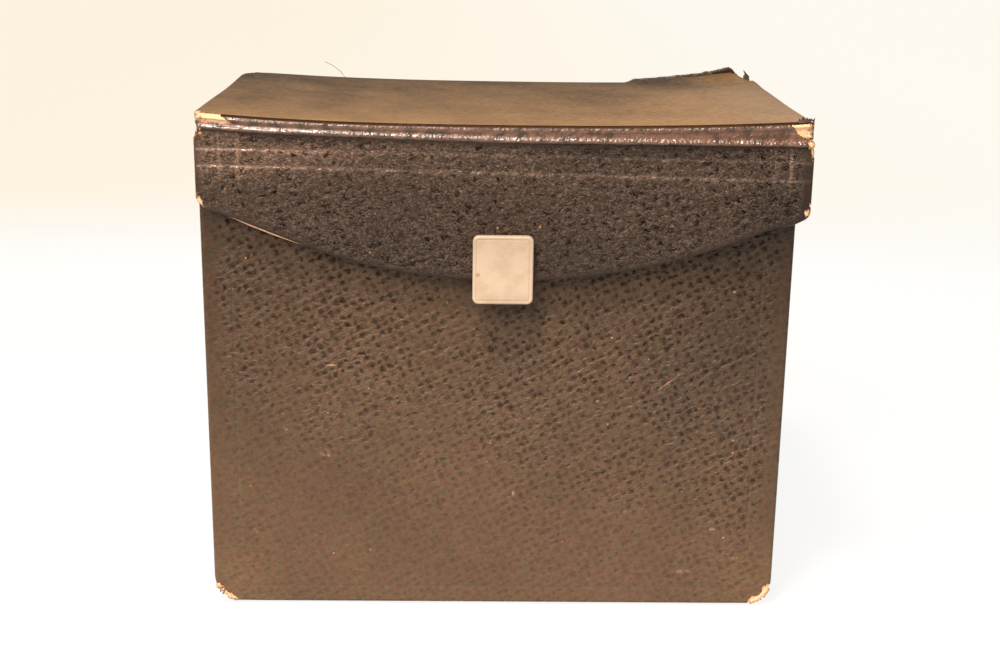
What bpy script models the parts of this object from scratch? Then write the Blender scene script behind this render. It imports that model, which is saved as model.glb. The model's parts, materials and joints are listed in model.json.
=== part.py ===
"""Lidded storage box of strawboard covered in embossed leatherette, closed by a flap with a press stud.

Frame: +Z up, front towards -Y, origin at the centre of the base, metres.
The case is a tray of separate boards. The lid is a board on a cloth hinge along the top of the
back wall. The flap is a third board, on a cloth joint along the lid's front edge.
"""

import math

import bmesh
import bpy
from mathutils import Matrix, Vector

# Driving dimensions, in metres.
CASE_WIDTH = 0.170
CASE_DEPTH = 0.094
TOTAL_HEIGHT = 0.148
LID_WIDTH = 0.173
LID_SET_OVER = 0.0015  # the lid and its clasp sit this far to the right of the case's centre
CLEARANCE = 0.0003  # between pieces that are glued or rest on each other

BOARD = 0.0028
FLAP_BOARD = 0.0020
COVERING = 0.0006
LINING = 0.0004
STAY = 0.0003
BASE_SHEET = 0.0004
HINGE_CLOTH = 0.0005
TURN_IN = 0.012  # how far the covering laps over an edge
FLAP_TURN_IN = 0.006
BASE_SHEET_MARGIN = 0.002
CASE_CORNER_RADIUS = 0.0012
EDGE_RADIUS = 0.0008  # where the covering bends over a board's edge

LID_GAP = 0.0004  # between the case's top edge and the underside of the closed lid
FLAP_STAND_OFF = 0.0010  # between the case's front and the inside of the closed flap
FLAP_SIDE_BOTTOM = 0.1245  # height where the flap's straight sides end
FLAP_MIDDLE_BOTTOM = 0.1032  # height of the lowest point of the flap's curved edge
FLAP_CORNER_RADIUS = 0.0030

STAY_LEG = 0.020
STAY_MARGIN = 0.005
REAR_CLOTH_BOTTOM = 0.118
REAR_CLOTH_HALF_WIDTH = 0.0845
INNER_CLOTH_BOTTOM = 0.119
INNER_CLOTH_REACH = 0.018
INNER_CLOTH_HALF_WIDTH = 0.0775
FRONT_STRIP_BOTTOM = 0.1415
FRONT_STRIP_TOP = 0.1476

CLASP_WIDTH = 0.0176
CLASP_HEIGHT = 0.0198
CLASP_THICKNESS = 0.0021
CLASP_CENTRE_Z = 0.1070
CLASP_CORNER_RADIUS = 0.0016
CLASP_RIM_BEVEL = 0.0007
PRONG_RADIUS = 0.0007
PRONG_OFFSET_X = 0.0066
PRONG_HEIGHTS = (0.1062, 0.1150)
PRONG_ROOT = 0.0008  # how deep a prong starts inside the plate
BACKING_THICKNESS = 0.0004
BACKING_MARGIN = 0.0005  # the backing is smaller than what it backs, all round
BACKING_CORNER_RADIUS = 0.0010

STUD_Z = 0.1105
SOCKET_OUTER_RADIUS = 0.0042
SOCKET_BORE_RADIUS = 0.0024
SOCKET_FLOOR = 0.0008
SOCKET_LIP = 0.0003
SOCKET_HOLE_RADIUS = 0.0046
SPRING_RADIUS = 0.0016
SPRING_WIRE_RADIUS = 0.0002
SPRING_GAP_DEG = 60
STUD_BASE_RADIUS = 0.0040
STUD_BASE_THICKNESS = 0.0005
STUD_NECK_RADIUS = 0.00105
STUD_BULB_RADIUS = 0.0016
STUD_HEIGHT = 0.0030
RIVET_SHANK_RADIUS = 0.0012
RIVET_HOLE_RADIUS = 0.0016
RIVET_HEAD_RADIUS = 0.0027
RIVET_HEAD_THICKNESS = 0.0008
WASHER_RADIUS = 0.0045
WASHER_THICKNESS = 0.0005
WALL_HOLE_REACH = 0.012  # how far behind the case's front the stud's hole is cut

# Shapes given as shares of a driving dimension.
STUD_BULB_PROFILE = ((0.5, 1.0), (0.87, 0.9), (1.0, 0.78), (0.87, 0.64))  # of radius, of height
STUD_NECK_TOP = 0.5  # of the stud's height
SPRING_HEIGHT = 0.45  # of the stud's height
RIVET_CROWN_RADIUS = 0.8  # of the head's radius
RIVET_CROWN_EDGE = 0.3  # of the head's thickness

# How finely curves are drawn.
ROUND_SEGMENTS = 24
PRONG_SEGMENTS = 12
CORNER_STEPS = 3
FLAP_CORNER_STEPS = 4
FLAP_CURVE_STEPS = 24
SPRING_STEPS = 24
RIM_SEGMENTS = 3
WIRE_RESOLUTION = 2
SMALLEST_RADIUS = 0.0002  # of a corner that has been drawn in
MERGE_DISTANCE = 1e-6
RIM_ANGLE_DEG = 60  # edges sharper than this get the clasp plate's bevel

# Heights, worked out from the stack of sheets.
CASE_HALF_WIDTH = CASE_WIDTH / 2
CASE_HALF_DEPTH = CASE_DEPTH / 2
COVERED = COVERING + CLEARANCE  # from a board's edge to the outside of its covering
WALL_BACK = COVERING + STAY + 3 * CLEARANCE  # from the outside to a wall board
WALL_HALF_WIDTH = CASE_HALF_WIDTH - WALL_BACK
WALL_HALF_DEPTH = CASE_HALF_DEPTH - WALL_BACK
COVERING_BOTTOM = BASE_SHEET + CLEARANCE
BOARD_BOTTOM = COVERING_BOTTOM + COVERED
LID_UNDERSIDE = TOTAL_HEIGHT - 2 * COVERED - BOARD
CASE_TOP = LID_UNDERSIDE - LID_GAP
FLOOR_TOP = BOARD_BOTTOM + BOARD

# Depths at the front, worked out from the stack of sheets.
CASE_FRONT = -CASE_HALF_DEPTH
FLAP_BACK = CASE_FRONT - FLAP_STAND_OFF
FLAP_BOARD_BACK = FLAP_BACK - COVERED
FLAP_BOARD_FRONT = FLAP_BOARD_BACK - FLAP_BOARD
FLAP_FRONT = FLAP_BOARD_FRONT - COVERED
CLASP_BACK = FLAP_FRONT - CLEARANCE
CLASP_FRONT = CLASP_BACK - CLASP_THICKNESS
LID_FRONT = FLAP_FRONT
LID_BACK = CASE_HALF_DEPTH
FLAP_TOP = LID_UNDERSIDE - LID_GAP
LID_HINGE = Vector((0, LID_BACK + CLEARANCE / 2, CASE_TOP + LID_GAP / 2))
FLAP_HINGE = Vector((LID_SET_OVER, FLAP_FRONT - CLEARANCE / 2, FLAP_TOP + LID_GAP / 2))

ACROSS_FRONT = (math.pi / 2, 0, 0)  # an outline's (u, v) becomes (x, z) and its depth -y
ALONG_WIDTH = (math.pi / 2, 0, math.pi / 2)  # an outline's (u, v) becomes (y, z), its depth x


def collection(name):
    """A new collection in the scene."""
    made = bpy.data.collections.new(name)
    bpy.context.scene.collection.children.link(made)
    return made


def material(name, colour, roughness, metallic=0.0):
    """A Principled BSDF with these values."""
    made = bpy.data.materials.new(name)
    made.use_nodes = True
    shader = made.node_tree.nodes["Principled BSDF"]
    shader.inputs["Base Color"].default_value = (*colour, 1)
    shader.inputs["Roughness"].default_value = roughness
    shader.inputs["Metallic"].default_value = metallic
    made.diffuse_color = (*colour, 1)
    return made


def add_object(name, mesh, look=None, into=None):
    """An object for this mesh, in the part's collection or in another."""
    piece = bpy.data.objects.new(name, mesh)
    (into or PARTS).objects.link(piece)
    if look:
        mesh.materials.append(look)
    return piece


def mesh_from(name, bm):
    """A mesh made from a bmesh, which is freed."""
    mesh = bpy.data.meshes.new(name)
    bm.to_mesh(mesh)
    bm.free()
    return mesh


def block(name, low, high, look=None, into=None):
    """A box between two corners, with its size in its mesh and its place in its location."""
    low = Vector(low)
    high = Vector(high)
    bm = bmesh.new()
    bmesh.ops.create_cube(bm, size=1, matrix=Matrix.Diagonal((*(high - low), 1)))
    piece = add_object(name, mesh_from(name, bm), look, into)
    piece.location = (low + high) / 2
    return piece


def rod(name, radius, start, end, look=None, into=None, segments=ROUND_SEGMENTS):
    """A cylinder along Y between two points."""
    start = Vector(start)
    end = Vector(end)
    bm = bmesh.new()
    bmesh.ops.create_cone(
        bm,
        cap_ends=True,
        segments=segments,
        radius1=radius,
        radius2=radius,
        depth=(end - start).length,
    )
    piece = add_object(name, mesh_from(name, bm), look, into)
    piece.rotation_euler = ACROSS_FRONT
    piece.location = (start + end) / 2
    return piece


def turned(name, profile, place, look):
    """A shape turned about -Y from a profile of (radius, distance in front of place) points."""
    bm = bmesh.new()
    points = [bm.verts.new((radius, 0, front)) for radius, front in profile]
    for first, second in zip(points, points[1:]):
        bm.edges.new((first, second))
    piece = add_object(name, mesh_from(name, bm), look)
    screw = piece.modifiers.new("Turn", "SCREW")
    screw.steps = ROUND_SEGMENTS
    screw.render_steps = ROUND_SEGMENTS
    screw.use_merge_vertices = True
    screw.merge_threshold = MERGE_DISTANCE
    piece.rotation_euler = ACROSS_FRONT
    piece.location = place
    return piece


def plate(name, outline, thickness, look=None, into=None):
    """A mesh of a flat outline, extruded by half its thickness each way."""
    curve = bpy.data.curves.new(name, "CURVE")
    curve.dimensions = "2D"
    curve.fill_mode = "BOTH"
    curve.extrude = thickness / 2
    spline = curve.splines.new("POLY")
    spline.points.add(len(outline) - 1)
    for point, (u, v) in zip(spline.points, outline):
        point.co = (u, v, 0, 1)
    spline.use_cyclic_u = True
    drawn = add_object(name, curve, into=into)
    graph = bpy.context.evaluated_depsgraph_get()
    mesh = bpy.data.meshes.new_from_object(drawn.evaluated_get(graph))
    bpy.data.objects.remove(drawn)
    bm = bmesh.new()
    bm.from_mesh(mesh)
    bmesh.ops.remove_doubles(bm, verts=bm.verts, dist=MERGE_DISTANCE)
    bmesh.ops.recalc_face_normals(bm, faces=bm.faces)
    bm.to_mesh(mesh)
    bm.free()
    mesh.name = name
    return add_object(name, mesh, look, into)


def arc(centre, radius, start_deg, end_deg, steps):
    """Points along an arc, both ends included."""
    angles = [math.radians(start_deg + (end_deg - start_deg) * i / steps) for i in range(steps + 1)]
    return [(centre[0] + radius * math.cos(a), centre[1] + radius * math.sin(a)) for a in angles]


def rectangle(centre, half_width, half_depth, radius):
    """A function that gives a rectangle's rounded outline, drawn in by an inset."""

    def outline(inset):
        r = max(radius - inset, SMALLEST_RADIUS)
        u = half_width - inset - r
        v = half_depth - inset - r
        corners = (((u, v), 0), ((-u, v), 90), ((-u, -v), 180), ((u, -v), 270))
        points = []
        for (du, dv), start in corners:
            points += arc((centre[0] + du, centre[1] + dv), r, start, start + 90, CORNER_STEPS)
        return points

    return outline


def flap_outline(inset):
    """The flap seen from the front: straight top and sides, and one shallow arc below."""
    half = LID_WIDTH / 2
    drop = FLAP_SIDE_BOTTOM - FLAP_MIDDLE_BOTTOM
    big_radius = (half**2 + drop**2) / (2 * drop)
    big_centre = FLAP_MIDDLE_BOTTOM + big_radius
    r = max(FLAP_CORNER_RADIUS - inset, SMALLEST_RADIUS)
    u = half - inset - r
    reach = big_radius - inset - r
    v = big_centre - math.sqrt(reach**2 - u**2)
    tangent = math.degrees(math.atan2(v - big_centre, u))
    top = FLAP_TOP - inset
    points = [(half - inset, top), (inset - half, top)]
    points += arc((-u, v), r, 180, 180 - tangent, FLAP_CORNER_STEPS)
    low_curve = arc((0, big_centre), big_radius - inset, -180 - tangent, tangent, FLAP_CURVE_STEPS)
    points += low_curve[1:-1]
    points += arc((u, v), r, tangent, 0, FLAP_CORNER_STEPS)
    return [(LID_SET_OVER + a, b) for a, b in points]


def bend(inset, level, into_corner):
    """A rounded bend in a sheet's path, where (inset, level) is the sharp corner.

    into_corner says which way the sheet arrives and leaves: "out_up", "up_in" or "in_down".
    """
    r = EDGE_RADIUS
    centre, start, end = {
        "out_up": ((inset + r, level + r), 270, 180),
        "up_in": ((inset + r, level - r), 180, 90),
        "in_down": ((inset - r, level - r), 90, 0),
    }[into_corner]
    return arc(centre, r, start, end, CORNER_STEPS)


def wrap(name, outline, path, look, capped):
    """A sheet that follows a path of (inset, level) points all round an outline.

    The path is the sheet's finished side, and the sheet's thickness is behind it.
    """
    bm = bmesh.new()
    rings = [[bm.verts.new((u, v, level)) for u, v in outline(inset)] for inset, level in path]
    for lower, upper in zip(rings, rings[1:]):
        for i in range(len(lower)):
            j = (i + 1) % len(lower)
            bm.faces.new((lower[i], lower[j], upper[j], upper[i]))
    if capped:
        bm.faces.new(rings[-1])
    piece = add_object(name, mesh_from(name, bm), look)
    sheet = piece.modifiers.new("Sheet", "SOLIDIFY")
    sheet.thickness = COVERING
    sheet.offset = -1
    sheet.use_even_offset = True
    return piece


def combine(piece, tool, operation="DIFFERENCE"):
    """Cuts piece with tool, or joins tool to it. The tool is hidden and isn't a part."""
    boolean = piece.modifiers.new(tool.name, "BOOLEAN")
    boolean.operation = operation
    boolean.solver = "EXACT"
    boolean.object = tool
    tool.hide_render = True
    tool.display_type = "WIRE"


def carry(pieces, axis):
    """Parents pieces to a joint's empty without moving them."""
    bpy.context.view_layer.update()
    for piece in pieces:
        piece.parent = axis
        piece.matrix_parent_inverse = axis.matrix_world.inverted()


def axis_at(name, place):
    """An empty on a joint's axis."""
    empty = bpy.data.objects.new(name, None)
    PARTS.objects.link(empty)
    empty.location = place
    return empty


def hole_through_wall(name, radius):
    """A cutter for the press stud's hole, from in front of the flap to inside the case."""
    front = (LID_SET_OVER, CLASP_FRONT, STUD_Z)
    back = (LID_SET_OVER, CASE_FRONT + WALL_HOLE_REACH, STUD_Z)
    return rod(name, radius, front, back, into=CUTTERS)


def make_boards():
    """The tray: a floor between four walls, all of one thickness of board."""
    inner_x = WALL_HALF_WIDTH - BOARD
    inner_y = WALL_HALF_DEPTH - BOARD
    top = CASE_TOP - COVERED
    floor = (inner_x - CLEARANCE, inner_y - CLEARANCE)
    block("floor_board", (-floor[0], -floor[1], BOARD_BOTTOM), (*floor, FLOOR_TOP), STRAWBOARD)
    for name, sign in (("front", -1), ("back", 1)):
        near, far = sorted((sign * inner_y, sign * WALL_HALF_DEPTH))
        low = (-WALL_HALF_WIDTH, near, BOARD_BOTTOM)
        wall = block(f"{name}_wall_board", low, (WALL_HALF_WIDTH, far, top), STRAWBOARD)
        if name == "front":
            combine(wall, hole_through_wall("wall_hole", RIVET_HOLE_RADIUS))
    for name, sign in (("left", -1), ("right", 1)):
        near, far = sorted((sign * inner_x, sign * WALL_HALF_WIDTH))
        low = (near, -floor[1], BOARD_BOTTOM)
        block(f"{name}_wall_board", low, (far, floor[1], top), STRAWBOARD)


def make_stays():
    """A folded paper stay round each upright corner of the tray, under the covering."""
    low = BOARD_BOTTOM + STAY_MARGIN
    high = CASE_TOP - COVERED - STAY_MARGIN
    for depth_name, sy in (("front", -1), ("back", 1)):
        for side_name, sx in (("left", -1), ("right", 1)):
            x0 = WALL_HALF_WIDTH + CLEARANCE
            y0 = WALL_HALF_DEPTH + CLEARANCE
            outline = [
                (x0 - STAY_LEG, y0),
                (x0, y0),
                (x0, y0 - STAY_LEG),
                (x0 + STAY, y0 - STAY_LEG),
                (x0 + STAY, y0 + STAY),
                (x0 - STAY_LEG, y0 + STAY),
            ]
            outline = [(sx * x, sy * y) for x, y in outline]
            stay = plate(f"corner_stay_{depth_name}_{side_name}", outline, high - low, KRAFT)
            stay.location.z = (low + high) / 2


def make_case_skins():
    """The case's covering, the sheet under its base, and its lining."""
    outer = rectangle((0, 0), CASE_HALF_WIDTH, CASE_HALF_DEPTH, CASE_CORNER_RADIUS)
    inside_face = WALL_BACK + BOARD + COVERED
    path = [(TURN_IN, COVERING_BOTTOM)]
    path += bend(0, COVERING_BOTTOM, "out_up")
    path += bend(0, CASE_TOP, "up_in")
    path += bend(inside_face, CASE_TOP, "in_down")
    path += [(inside_face, CASE_TOP - TURN_IN)]
    covering = wrap("case_covering", outer, path, LEATHERETTE, capped=False)
    combine(covering, hole_through_wall("covering_hole", RIVET_HOLE_RADIUS))

    base_x = CASE_HALF_WIDTH - BASE_SHEET_MARGIN
    base_y = CASE_HALF_DEPTH - BASE_SHEET_MARGIN
    block("base_sheet", (-base_x, -base_y, 0), (base_x, base_y, BASE_SHEET), LEATHERETTE)

    x = WALL_HALF_WIDTH - BOARD - CLEARANCE
    y = WALL_HALF_DEPTH - BOARD - CLEARANCE
    bottom = FLOOR_TOP + CLEARANCE
    top = CASE_TOP - TURN_IN - CLEARANCE
    lining = block("wall_lining", (-x, -y, bottom), (x, y, top), LINING_PAPER)
    inner = (x - LINING, y - LINING)
    room = block("lining_room", (-inner[0], -inner[1], 0), (*inner, CASE_TOP), into=CUTTERS)
    combine(lining, room)
    combine(lining, hole_through_wall("lining_hole", RIVET_HOLE_RADIUS))

    floor = (inner[0] - CLEARANCE, inner[1] - CLEARANCE)
    low = (-floor[0], -floor[1], bottom)
    block("floor_lining", low, (*floor, bottom + LINING), LINING_PAPER)


def make_stud():
    """The press stud's post on the case's front, with its rivet and washer through the wall."""
    foot = CASE_FRONT - CLEARANCE
    base = STUD_BASE_THICKNESS
    profile = [
        (0, STUD_HEIGHT),
        *((r * STUD_BULB_RADIUS, h * STUD_HEIGHT) for r, h in STUD_BULB_PROFILE),
        (STUD_NECK_RADIUS, STUD_NECK_TOP * STUD_HEIGHT),
        (STUD_NECK_RADIUS, base),
        (STUD_BASE_RADIUS, base),
        (STUD_BASE_RADIUS, 0),
        (0, 0),
    ]
    turned("stud_post", profile, (LID_SET_OVER, foot, STUD_Z), STEEL)

    lining_face = CASE_FRONT + WALL_BACK + BOARD + CLEARANCE + LINING
    washer_front = lining_face + CLEARANCE
    washer_back = washer_front + WASHER_THICKNESS
    head_front = washer_back + CLEARANCE
    head_back = head_front + RIVET_HEAD_THICKNESS
    reach = head_back - CASE_FRONT
    profile = [
        (0, reach),
        (RIVET_SHANK_RADIUS, reach),
        (RIVET_SHANK_RADIUS, RIVET_HEAD_THICKNESS),
        (RIVET_HEAD_RADIUS, RIVET_HEAD_THICKNESS),
        (RIVET_HEAD_RADIUS, RIVET_CROWN_EDGE * RIVET_HEAD_THICKNESS),
        (RIVET_CROWN_RADIUS * RIVET_HEAD_RADIUS, 0),
        (0, 0),
    ]
    turned("stud_rivet", profile, (LID_SET_OVER, head_back, STUD_Z), STEEL)
    front = (LID_SET_OVER, washer_front, STUD_Z)
    back = (LID_SET_OVER, washer_back, STUD_Z)
    washer = rod("stud_washer", WASHER_RADIUS, front, back, STEEL)
    combine(washer, hole_through_wall("washer_hole", RIVET_HOLE_RADIUS))


def make_hinge_cloths():
    """The lid's cloth hinge outside the back wall, and the linen joint inside it."""
    near = LID_BACK + CLEARANCE
    low = (-REAR_CLOTH_HALF_WIDTH, near, REAR_CLOTH_BOTTOM)
    high = (REAR_CLOTH_HALF_WIDTH, near + HINGE_CLOTH, TOTAL_HEIGHT - CLEARANCE)
    block("rear_hinge_cloth", low, high, LEATHERETTE)

    wall_face = WALL_HALF_DEPTH - BOARD - COVERED - CLEARANCE
    under_lid = LID_UNDERSIDE - CLEARANCE
    outline = [
        (wall_face, INNER_CLOTH_BOTTOM),
        (wall_face, under_lid),
        (wall_face - INNER_CLOTH_REACH, under_lid),
        (wall_face - INNER_CLOTH_REACH, under_lid - HINGE_CLOTH),
        (wall_face - HINGE_CLOTH, under_lid - HINGE_CLOTH),
        (wall_face - HINGE_CLOTH, INNER_CLOTH_BOTTOM),
    ]
    joint = plate("inner_hinge_cloth", outline, 2 * INNER_CLOTH_HALF_WIDTH, LINEN)
    joint.rotation_euler = ALONG_WIDTH


def make_lid():
    """The lid's board, covering and lining, and the strip that joins the flap to it."""
    mid_y = (LID_FRONT + LID_BACK) / 2
    half_depth = (LID_BACK - LID_FRONT) / 2
    centre = (LID_SET_OVER, mid_y)
    outer = rectangle(centre, LID_WIDTH / 2, half_depth, CASE_CORNER_RADIUS)
    low = Vector((LID_SET_OVER - LID_WIDTH / 2, LID_FRONT, LID_UNDERSIDE))
    high = Vector((LID_SET_OVER + LID_WIDTH / 2, LID_BACK, TOTAL_HEIGHT))
    inset = Vector((COVERED, COVERED, COVERED))
    board = block("lid_board", low + inset, high - inset, STRAWBOARD)

    path = [(TURN_IN, LID_UNDERSIDE)]
    path += bend(0, LID_UNDERSIDE, "out_up")
    path += bend(0, TOTAL_HEIGHT, "up_in")
    covering = wrap("lid_covering", outer, path, LEATHERETTE, capped=True)

    edge = TURN_IN + CLEARANCE
    bottom = LID_UNDERSIDE + (COVERING - LINING) / 2
    lining_low = (low.x + edge, low.y + edge, bottom)
    lining_high = (high.x - edge, high.y - edge, bottom + LINING)
    lining = block("lid_lining", lining_low, lining_high, LINING_PAPER)

    strip_back = LID_FRONT - CLEARANCE
    strip_low = (low.x, strip_back - HINGE_CLOTH, FRONT_STRIP_BOTTOM)
    strip_high = (high.x, strip_back, FRONT_STRIP_TOP)
    strip = block("front_joint_strip", strip_low, strip_high, LEATHERETTE)
    return [board, covering, lining, strip]


def flap_holes(name, piece):
    """Cuts a piece of the flap for the press stud's socket and for the clasp's prongs."""
    front = Vector((LID_SET_OVER, CLASP_FRONT, STUD_Z))
    back = Vector((LID_SET_OVER, CASE_FRONT, STUD_Z))
    combine(piece, rod(f"{name}_socket_hole", SOCKET_HOLE_RADIUS, front, back, into=CUTTERS))
    for number, (x, z) in enumerate(prong_places()):
        start = (x, CLASP_FRONT, z)
        end = (x, CASE_FRONT, z)
        radius = PRONG_RADIUS + CLEARANCE
        hole_name = f"{name}_prong_hole_{number}"
        combine(piece, rod(hole_name, radius, start, end, into=CUTTERS, segments=PRONG_SEGMENTS))


def prong_places():
    """The (x, z) places of the clasp's four prongs."""
    sides = (LID_SET_OVER - PRONG_OFFSET_X, LID_SET_OVER + PRONG_OFFSET_X)
    return [(x, z) for x in sides for z in PRONG_HEIGHTS]


def make_flap():
    """The flap's board, covering and lining."""
    depth = (FLAP_BOARD_BACK + FLAP_BOARD_FRONT) / 2
    board = plate("flap_board", flap_outline(COVERED), FLAP_BOARD, STRAWBOARD)
    board.rotation_euler = ACROSS_FRONT
    board.location.y = depth
    flap_holes("board", board)

    path = [(FLAP_TURN_IN, -FLAP_BACK)]
    path += bend(0, -FLAP_BACK, "out_up")
    path += bend(0, -FLAP_FRONT, "up_in")
    covering = wrap("flap_covering", flap_outline, path, LEATHERETTE, capped=True)
    covering.rotation_euler = ACROSS_FRONT
    flap_holes("covering", covering)

    lining = plate("flap_lining", flap_outline(FLAP_TURN_IN + CLEARANCE), LINING, LINING_PAPER)
    lining.rotation_euler = ACROSS_FRONT
    lining.location.y = FLAP_BACK - COVERING / 2
    flap_holes("lining", lining)
    return [board, covering, lining]


def make_clasp():
    """The clasp's face plate with its prongs, the backing they clench on, and the snap socket."""
    centre = (LID_SET_OVER, CLASP_CENTRE_Z)
    outline = rectangle(centre, CLASP_WIDTH / 2, CLASP_HEIGHT / 2, CLASP_CORNER_RADIUS)
    face = plate("clasp_plate", outline(0), CLASP_THICKNESS, IVORY)
    face.rotation_euler = ACROSS_FRONT
    face.location.y = (CLASP_BACK + CLASP_FRONT) / 2
    rim = face.modifiers.new("Rim", "BEVEL")
    rim.width = CLASP_RIM_BEVEL
    rim.segments = RIM_SEGMENTS
    rim.angle_limit = math.radians(RIM_ANGLE_DEG)
    prong_tip = CASE_FRONT - CLEARANCE - BACKING_THICKNESS / 2
    for number, (x, z) in enumerate(prong_places()):
        start = (x, CLASP_BACK - PRONG_ROOT, z)
        end = (x, prong_tip, z)
        tool_name = f"prong_{number}"
        prong = rod(tool_name, PRONG_RADIUS, start, end, into=CUTTERS, segments=PRONG_SEGMENTS)
        combine(face, prong, "UNION")

    low = FLAP_MIDDLE_BOTTOM + 2 * BACKING_MARGIN
    high = CLASP_CENTRE_Z + CLASP_HEIGHT / 2 - BACKING_MARGIN
    half_width = CLASP_WIDTH / 2 - BACKING_MARGIN
    centre = (LID_SET_OVER, (low + high) / 2)
    outline = rectangle(centre, half_width, (high - low) / 2, BACKING_CORNER_RADIUS)
    backing = plate("clasp_backing", outline(0), BACKING_THICKNESS, STEEL)
    backing.rotation_euler = ACROSS_FRONT
    backing.location.y = CASE_FRONT - CLEARANCE - BACKING_THICKNESS / 2
    flap_holes("backing", backing)

    open_end = CASE_FRONT - CLEARANCE - STUD_BASE_THICKNESS - CLEARANCE
    closed_end = CLASP_BACK + CLEARANCE
    depth = open_end - closed_end
    mouth = SOCKET_BORE_RADIUS - SOCKET_LIP
    profile = [
        (0, depth),
        (SOCKET_OUTER_RADIUS, depth),
        (SOCKET_OUTER_RADIUS, 0),
        (mouth, 0),
        (mouth, SOCKET_LIP),
        (SOCKET_BORE_RADIUS, SOCKET_LIP),
        (SOCKET_BORE_RADIUS, depth - SOCKET_FLOOR),
        (0, depth - SOCKET_FLOOR),
    ]
    socket = turned("snap_socket", profile, (LID_SET_OVER, open_end, STUD_Z), STEEL)

    spring_depth = CASE_FRONT - CLEARANCE - SPRING_HEIGHT * STUD_HEIGHT
    curve = bpy.data.curves.new("snap_spring", "CURVE")
    curve.dimensions = "3D"
    curve.bevel_depth = SPRING_WIRE_RADIUS
    curve.bevel_resolution = WIRE_RESOLUTION
    curve.use_fill_caps = True
    line = curve.splines.new("POLY")
    half_gap = SPRING_GAP_DEG / 2
    points = arc((0, 0), SPRING_RADIUS, half_gap - 90, 270 - half_gap, SPRING_STEPS)
    line.points.add(len(points) - 1)
    for point, (u, v) in zip(line.points, points):
        point.co = (u, v, 0, 1)
    curve.materials.append(STEEL)
    spring = bpy.data.objects.new("snap_spring", curve)
    PARTS.objects.link(spring)
    spring.rotation_euler = ACROSS_FRONT
    spring.location = (LID_SET_OVER, spring_depth, STUD_Z)
    return [face, backing, socket, spring]


for leftover in list(bpy.data.objects):
    bpy.data.objects.remove(leftover)

PARTS = collection("archival_box")
CUTTERS = collection("cutters")
LEATHERETTE = material("leatherette", (0.075, 0.043, 0.027), 0.5)
STRAWBOARD = material("strawboard", (0.62, 0.42, 0.20), 0.9)
LINING_PAPER = material("lining_paper", (0.20, 0.15, 0.11), 0.85)
KRAFT = material("kraft_paper", (0.45, 0.30, 0.16), 0.85)
LINEN = material("linen", (0.30, 0.24, 0.17), 0.9)
IVORY = material("ivory_plate", (0.80, 0.60, 0.40), 0.35)
STEEL = material("nickelled_steel", (0.62, 0.60, 0.56), 0.3, 1.0)

make_boards()
make_stays()
make_case_skins()
make_stud()
make_hinge_cloths()
lid_axis = axis_at("lid_hinge_axis", LID_HINGE)
carry(make_lid(), lid_axis)
flap_axis = axis_at("flap_hinge_axis", FLAP_HINGE)
carry([flap_axis], lid_axis)
carry(make_flap() + make_clasp(), flap_axis)
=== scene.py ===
import json
import math

import bmesh
import bpy
import numpy as np
from mathutils import Matrix, Vector, noise


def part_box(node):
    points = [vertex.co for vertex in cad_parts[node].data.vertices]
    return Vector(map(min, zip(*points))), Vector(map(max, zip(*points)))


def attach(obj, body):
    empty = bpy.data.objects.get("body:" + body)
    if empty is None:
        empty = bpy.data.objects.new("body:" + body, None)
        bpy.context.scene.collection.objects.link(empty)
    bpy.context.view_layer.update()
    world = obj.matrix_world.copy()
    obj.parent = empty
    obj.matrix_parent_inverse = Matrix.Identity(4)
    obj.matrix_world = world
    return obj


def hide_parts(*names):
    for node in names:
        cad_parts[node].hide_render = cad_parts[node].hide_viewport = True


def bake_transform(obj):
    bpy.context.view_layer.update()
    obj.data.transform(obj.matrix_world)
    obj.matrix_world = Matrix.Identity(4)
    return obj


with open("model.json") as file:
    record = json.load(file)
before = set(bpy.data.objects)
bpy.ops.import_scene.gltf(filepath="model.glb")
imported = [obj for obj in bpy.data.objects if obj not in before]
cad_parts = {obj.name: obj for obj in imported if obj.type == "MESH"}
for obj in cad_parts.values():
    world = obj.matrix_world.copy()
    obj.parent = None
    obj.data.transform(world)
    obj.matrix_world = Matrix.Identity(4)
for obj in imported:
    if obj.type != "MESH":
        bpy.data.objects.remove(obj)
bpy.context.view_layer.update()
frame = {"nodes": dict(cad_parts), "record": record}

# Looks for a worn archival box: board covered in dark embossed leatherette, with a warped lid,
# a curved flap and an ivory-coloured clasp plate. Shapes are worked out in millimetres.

MM = 0.001


def box_mm(node):
    """A CAD node's lowest and highest corners, in millimetres."""
    low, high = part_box(node)
    return np.array(low) / MM, np.array(high) / MM


CASE_LOW, CASE_HIGH = box_mm("case_covering")
LID_LOW, LID_HIGH = box_mm("lid_covering")
FLAP_LOW, FLAP_HIGH = box_mm("flap_covering")
CLASP_LOW, CLASP_HIGH = box_mm("clasp_plate")
JOINTS = {j["name"]: np.array(j["pos_m"]) / MM for j in frame["record"]["behaviour"]["joints"]}
CREASE = JOINTS["flap_hinge"]
LID_CREASE = JOINTS["lid_hinge"]
LID_MIDDLE = (LID_LOW[0] + LID_HIGH[0]) / 2
CLASP_MIDDLE = (CLASP_LOW[2] + CLASP_HIGH[2]) / 2
RUST_SPOT = (LID_MIDDLE - 7.3, CLASP_MIDDLE - 1.3)
SHEET = 0.5  # the covering's thickness


# ---------------------------------------------------------------- small maths


def smooth(x, low, high):
    """0 below low, 1 above high, and a smooth step between. It falls if low is above high."""
    t = np.clip((np.asarray(x, float) - low) / (high - low), 0, 1)
    return t * t * (3 - 2 * t)


def bump(x, centre, width):
    """A bell curve of height 1."""
    return np.exp(-(((np.asarray(x, float) - centre) / width) ** 2))


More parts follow.
